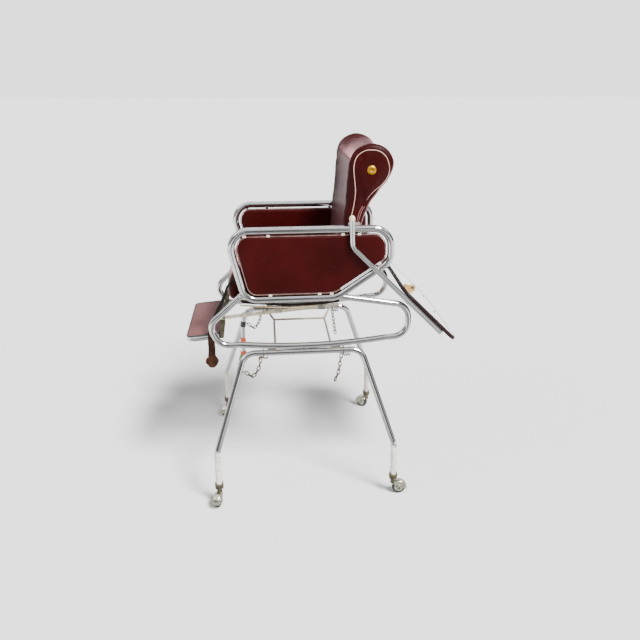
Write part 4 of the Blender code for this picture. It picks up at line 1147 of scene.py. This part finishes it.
def make_chain_fittings(side_name, side):
    """Wire loops round the rail, the bent hooks below them, and the hook that holds the front chain's end."""
    x = side * LOOP_X
    radius = LOWER_TUBE_R + 0.0022
    turns = [radians(-100 + 290 * k / 18) for k in reversed(range(19))]
    for name, y in (("front", -0.179), ("rear", 0.110 if side > 0 else 0.116)):
        loop = [(x + radius * cos(t), y, BASE_RAIL_Z + radius * sin(t)) for t in turns]
        drop = [(x - 0.003, y, BASE_RAIL_Z - radius - 0.0030), (x, y, BASE_RAIL_Z - radius - 0.0048)]
        tube(f"chain_loop_{name}_{side_name}", spline_points(loop + drop, 2), 0.0018, DARK_STEEL, "frame",
             False, 8)
    bend = spline_points([(x, -0.163, 0.5275), (x + side * 0.002, -0.170, 0.5235), (x, -0.179, 0.5250),
                          (x - side * 0.002, -0.188, 0.5275), (x, -0.196, 0.5250),
                          (x + side * 0.001, -0.195, 0.5205), (x, -0.190, 0.5195)], 5)
    tube(f"chain_hook_front_{side_name}", bend, 0.0026, RUSTY, "frame", False, 10)
    wrap_start, wrap_length, wrap_turns, steps = (0.107 if side > 0 else 0.114), 0.028, 3.2, 60
    wrap = []
    for k in range(steps + 1):
        angle = 2 * pi * wrap_turns * k / steps
        swell = 0.0040 + 0.0016 * noise.noise(Vector((k * 0.31, 4.0, 1.0)))
        wrap.append(Vector((x + 1.2 * swell * cos(angle), wrap_start + wrap_length * k / steps,
                            0.5255 + swell * sin(angle))))
    tube(f"chain_hook_rear_{side_name}", wrap, 0.0021, STEEL, "frame", False, 8)
    hook_z = 0.484
    knee = Vector((side * FOOT_X, FEET_Y[0], KNEE_Z))
    bend_top = Vector((x, RAIL_ENDS_Y[0], BASE_RAIL_Z))
    leg = bend_top.lerp(knee, (BASE_RAIL_Z - hook_z) / (BASE_RAIL_Z - KNEE_Z))
    last = Vector((side * FRONT_CHAIN[-1][0], *FRONT_CHAIN[-1][1:]))
    toward = (leg - last).normalized()
    near_leg = leg - toward * (LOWER_TUBE_R + 0.0050) + Vector((0, 0, -0.002))
    hook = spline_points([leg - toward * (LOWER_TUBE_R - 0.001), near_leg, last + Vector((0, -0.001, 0.001)),
                          last + Vector((0, 0.003, -0.002))], 4)
    tube(f"chain_leg_hook_{side_name}", hook, 0.0019, DARK_STEEL, "frame", False, 8)


# ---------------------------------------------------------------- casters
def caster_frame(name):
    """Local frame of a caster at rest: origin on the floor under the stem, +X the way it trails."""
    stem = Vector(JOINTS[f"caster_swivel_{name}"]["pos_m"]) - ORIGIN
    wheel = Vector(JOINTS[f"wheel_spin_{name}"]["pos_m"]) - ORIGIN
    trail = Vector((wheel.x - stem.x, wheel.y - stem.y, 0.0))
    forward = trail.normalized()
    sideways = Vector((0, 0, 1)).cross(forward)
    matrix = Matrix((forward, sideways, Vector((0, 0, 1)))).transposed().to_4x4()
    matrix.translation = Vector((stem.x, stem.y, 0.0))
    return matrix, trail.length, wheel.z


HOOD_START = radians(-8)
HOOD_ARC = radians(150)


def make_caster(name):
    """One caster: hood, bosses, neck, tyre, hub and pin, and the socket that stays on the leg."""
    matrix, trail, height = caster_frame(name)
    fork, wheel = f"caster_{name}", f"wheel_{name}"
    axle = matrix @ Matrix.Translation((trail, 0, height)) @ Matrix.Rotation(pi / 2, 4, "X")
    hood = mirrored([(0.0072, 0.0134), (0.0230, 0.0138), (0.0262, 0.0131), (0.0284, 0.0112),
                     (0.0292, 0.0080)], (0.0295, 0.0))
    shell = mesh_object(f"caster_hood_{name}", turned_shape(hood, 28, HOOD_ARC, HOOD_START))
    thicken(shell, 0.0013, -1.0)
    settle(shell, fork, CHROME_HOOD, axle, [f"caster_fork_{name}"])
    boss = [(0.0, 0.0142), (0.0080, 0.0142), (0.0108, 0.0138), (0.0112, 0.0128), (0.0112, 0.0120),
            (0.0, 0.0120)]
    for end, flip in (("a", 0.0), ("b", pi)):
        turned(f"caster_boss_{name}_{end}", boss, CHROME_HOOD, fork, axle @ Matrix.Rotation(flip, 4, "X"), 28)
    neck = [(0.0, 0.0680), (0.0128, 0.0680), (0.0146, 0.0668), (0.0150, 0.0650), (0.0142, 0.0632),
            (0.0118, 0.0618), (0.0100, 0.0590), (0.0096, 0.0530), (0.0102, 0.0440), (0.0, 0.0440)]
    turned(f"caster_neck_{name}", neck, DARK_STEEL, fork, matrix, 32)
    tyre = mirrored([(0.0166, 0.0080), (0.0200, 0.0088), (0.0226, 0.0086), (0.0240, 0.0070),
                     (0.02465, 0.0040)], (0.0248, 0.0))
    turned(f"caster_tyre_{name}", tyre + tyre[:1], TYRE, wheel, axle, 48, [f"caster_wheel_{name}"])
    hub = mirrored([(0.0034, 0.0100), (0.0070, 0.0100), (0.0080, 0.0088), (0.0086, 0.0058), (0.0140, 0.0052),
                    (0.0156, 0.0074), (0.0168, 0.0079)])
    turned(f"caster_hub_{name}", hub + hub[:1], HUB, wheel, axle, 40)
    pin = mirrored([(0.0, 0.0166), (0.0024, 0.0164), (0.0038, 0.0156), (0.0042, 0.0144)],
                   (0.0032, 0.0140), (0.0030, -0.0140))
    turned(f"caster_pin_{name}", pin, DARK_STEEL, fork, axle, 20, [f"caster_axle_{name}"])
    sleeve = LOWER_TUBE_R + 0.0004
    collar = [(0.0, -0.0005), (sleeve, -0.0005), (sleeve, 0.0050), (0.0136, 0.0056), (0.0150, 0.0040),
              (0.0158, -0.0010), (0.0162, -0.0056), (0.0150, -0.0078), (0.0110, -0.0090), (0.0, -0.0090)]
    shape = turned_shape(collar)
    for vert in shape.verts:
        if vert.co.z > 0.003:
            vert.co.z += 0.0042 * (vert.co.y / max(vert.co.xy.length, 1e-6)) ** 2
    leg_end = Matrix.Translation(matrix.translation + Vector((0, 0, LEG_END_Z)))
    socket = mesh_object(f"caster_socket_{name}", shape, sharp=35.0)
    settle(socket, "frame", DARK_STEEL, leg_end, [f"caster_collar_{name}"])


# ---------------------------------------------------------------- strap and small fittings
def make_strap():
    """Leather strap hanging from the seat front: a thin ribbon that ends in a gathered knot."""
    line = [(-0.2690, 0.805), (-0.2860, 0.797), (-0.2985, 0.782), (-0.3050, 0.762), (-0.3130, 0.742),
            (-0.3300, 0.706), (-0.3450, 0.674),
            (-0.3560, 0.648), (-0.3620, 0.618), (-0.3645, 0.585), (-0.3645, 0.555), (-0.3655, 0.532),
            (-0.3660, 0.522)]
    widths = [0.0060, 0.0060, 0.0062, 0.0088, 0.0110, 0.0130, 0.0150, 0.0180, 0.0222, 0.0246, 0.0250,
              0.0262, 0.0290]
    path = spline_points([(0.0, y, z) for y, z in line], 6)
    spread = spline_points([(w, 0.0, 0.0) for w in widths], 6)
    across = 10
    rows = []
    for index, centre in enumerate(path):
        ahead = (path[min(index + 1, len(path) - 1)] - path[max(index - 1, 0)]).normalized()
        sideways = Vector((0, -ahead.z, ahead.y))
        down = index / (len(path) - 1)
        row = []
        for k in range(across + 1):
            t = k / across - 0.5
            rumple = 0.0022 * down * noise.noise(Vector((t * 2.4, centre.z * 26.0, 0.4)))
            rumple += 0.0009 * down * noise.noise(Vector((t * 7.0, centre.z * 85.0, 2.0)))
            cup = 0.0012 * cos(t * pi * 1.6) * (0.4 + down)
            spot = centre + sideways * (t * spread[index].x)
            spot.x = STRAP_X + rumple + cup - 0.0006
            spot.y += 0.0010 * down * noise.noise(Vector((t, centre.z * 60.0, 5.0)))
            row.append(spot)
        rows.append(row)
    strap = mesh_object("strap_ribbon", lofted(rows, caps=False, around=False))
    strap.data.shade_smooth()
    thicken(strap, 0.0020, 0.0)
    settle(strap, "frame", STRAP, None, ["leather_strap"])
    steps = [(b - a).length for a, b in zip(path, path[1:])]
    mean_width = sum(s.x * step for s, step in zip(spread, steps)) / sum(steps)
    return strap, sum(steps), mean_width


KNOT_CENTRE = (STRAP_X, -0.3655, 0.5060)
KNOT_HALF = (0.0078, 0.0215, 0.0270)


def make_strap_knot():
    """Gathered end of the strap: leather folded over itself and pinched above its middle."""
    shape = bmesh.new()
    bmesh.ops.create_uvsphere(shape, u_segments=40, v_segments=28, radius=1.0)
    for vert in shape.verts:
        n = vert.co.copy()
        angle = atan2(n.x, n.y)
        pleat = 1.0 + 0.10 * cos(6 * angle + 2.0 * n.z) * (1 - n.z * n.z)
        lump = 1.0 + 0.16 * noise.noise(n * 1.9 + Vector((3, 1, 2))) + 0.07 * noise.noise(n * 5.0)
        pinch = 1.0 - 0.42 * max(0.0, n.z) ** 1.5
        across = pleat * lump * pinch
        vert.co = Vector(KNOT_CENTRE) + Vector(KNOT_HALF) * Vector((n.x * across, n.y * across, n.z * lump))
    knot = mesh_object("strap_knot", shape)
    knot.data.shade_smooth()
    return settle(knot, "frame", STRAP)


def make_taped_tube():
    """Short tube that hangs from the inside of the right rail, with scraps of coloured tape on it."""
    x = -UNDER_SEAT_X
    path = spline_points([(x, -0.2600, 0.5350), (x, -0.2665, 0.4757), (x, -0.2694, 0.4132),
                          (x, -0.2705, 0.3553), (x, -0.2775, 0.3319), (x, -0.2834, 0.3147),
                          (x, -0.2900, 0.2980)], 4)
    tube("taped_tube", path, 0.0100, CHROME, "frame", False, 18)
    # name, height of its middle, length, radius, finish and slant in degrees
    bands = (("dark", 0.4860, 0.024, 0.0112, BLACK, 0), ("red_a", 0.4132, 0.024, 0.0114, RED_TAPE, 8),
             ("red_b", 0.3560, 0.014, 0.0124, RED_TAPE, 24), ("green", 0.3310, 0.032, 0.0110, GREEN_TAPE, 0))
    for name, z, height, radius, finish, slant in bands:
        low = next(k for k, spot in enumerate(path) if spot.z <= z)
        centre = path[low - 1].lerp(path[low], (path[low - 1].z - z) / (path[low - 1].z - path[low].z))
        band = mirrored([(radius - 0.0008, height / 2), (radius, height / 2)], (radius + 0.0003, 0.0))
        way = Matrix.Rotation(radians(slant), 3, "X") @ (path[low] - path[low - 1])
        turned(f"tape_{name}", band + band[:1], finish, "frame", axis_matrix(centre, way), 28)


def bar_z(y):
    return BAR_FRONT[1] + (y - BAR_FRONT[0]) * tan(BAR_SLOPE)


def hanging_strip(name, side, line, height, thickness, finish):
    """Thin upright strip that follows a sagging line under the edge of the seat."""
    signs = ((-1, -1), (1, -1), (1, 1), (-1, 1))
    corners = [Vector((a * thickness / 2, 0, b * height / 2)) for a, b in signs]
    path = spline_points([(side * UNDER_SEAT_X, y, z) for y, z in line], 6)
    strip = lofted([[spot + corner for corner in corners] for spot in path])
    settle(bevelled(mesh_object(name, strip, sharp=30.0), 0.0005), "frame", finish)


def make_bar_holders(side_name, side):
    """Clamp plates and a wire stirrup that carry a footrest bar, and a very dark strip under the seat:
    painted shadow under the seat together with the seat board's dark underside.
    """
    x, y, level, top = side * BAR_X, 0.036, bar_z(0.036), 0.7470
    plate = rounded_rectangle((y - 0.012, level - 0.0105), (y + 0.012, level + 0.0165), 0.0025,
                              radians(30))
    for name, offset, replaced in (("a", 0.0046, [f"footrest_clamp_{side_name}"]), ("b", -0.0046, ())):
        slab(f"bar_clamp_plate_{side_name}_{name}", plate, 0.0022,
             lambda u, v, w, middle=x + offset: Vector((middle + w, u, v)), STEEL, "frame", 0.0005, replaced)
    screw_head(f"bar_clamp_screw_{side_name}", (x + side * 0.0057, y, level + 0.0110), (side, 0, 0), 0.0042,
               DARK_STEEL, "frame", 0.0026)
    post = [Vector((x, y, level + 0.0095)), Vector((x, y, top))]
    tube(f"bar_clamp_post_{side_name}", post, 0.0034, DARK_STEEL, "frame", False, 12)
    y, level = -0.112, bar_z(-0.112)
    wire = fillet([(x - 0.0048, y, top), (x - 0.0048, y, level - 0.0088), (x + 0.0048, y, level - 0.0088),
                   (x + 0.0048, y, top)], [0.0, 0.0035, 0.0035, 0.0], step=radians(15))
    tube(f"bar_stirrup_{side_name}", wire, 0.0015, STEEL, "frame", False, 8,
         [f"footrest_guide_{side_name}"])
    # very dark strip under the seat rail: painted shadow under the seat together with the dark underside of
    # the seat board
    hanging_strip(f"seat_underside_and_painted_shadow_{side_name}", side,
                  [(-0.2495, 0.7323), (-0.1673, 0.7220), (-0.0788, 0.7152), (0.0284, 0.7175),
                   (0.0985, 0.7240)], 0.0090, 0.0030, EDGING_AND_SHADE)
    hanging_strip(f"seat_pan_batten_{side_name}", side,
                  [(-0.2554, 0.7185), (-0.1677, 0.7108), (-0.0791, 0.7055), (0.0150, 0.7085)],
                  0.0042, 0.0060, BATTEN)


def dress_cad_nodes():
    """Materials of the CAD nodes that stay as they are."""
    finishes = {"seat_rail": STEEL, "seat_board": WOOD, "pivot_bolt": STEEL, "footrest_bar": BAR_PAINT,
                "footrest_bracket": DARK_STEEL, "back_hinge_plate": STEEL}
    for name, node in NODES.items():
        for start, finish in finishes.items():
            if name.startswith(start):
                paint(node, finish)
                node.data.shade_smooth()
                node.data.set_sharp_from_angle(angle=radians(30))


for side_label, sign in SIDES.items():
    make_tubes(side_label, sign)
    make_side_panel(side_label, sign)
    make_chain(f"chain_front_{side_label}", [(sign * x, y, z) for x, y, z in FRONT_CHAIN], 7,
               f"front_chain_{side_label}")
    make_chain(f"chain_rear_{side_label}", REAR_CHAINS[side_label], 6 if sign > 0 else 7,
               f"rear_chain_{side_label}", big_ring=sign > 0)
    make_chain_fittings(side_label, sign)
    make_bar_holders(side_label, sign)
make_shelf()
make_footrest()
make_brace()
for caster in ("front_left", "rear_left", "front_right", "rear_right"):
    make_caster(caster)
make_back()
make_seat()
ribbon, ribbon_length, ribbon_width = make_strap()
make_strap_knot()
make_taped_tube()
dress_cad_nodes()
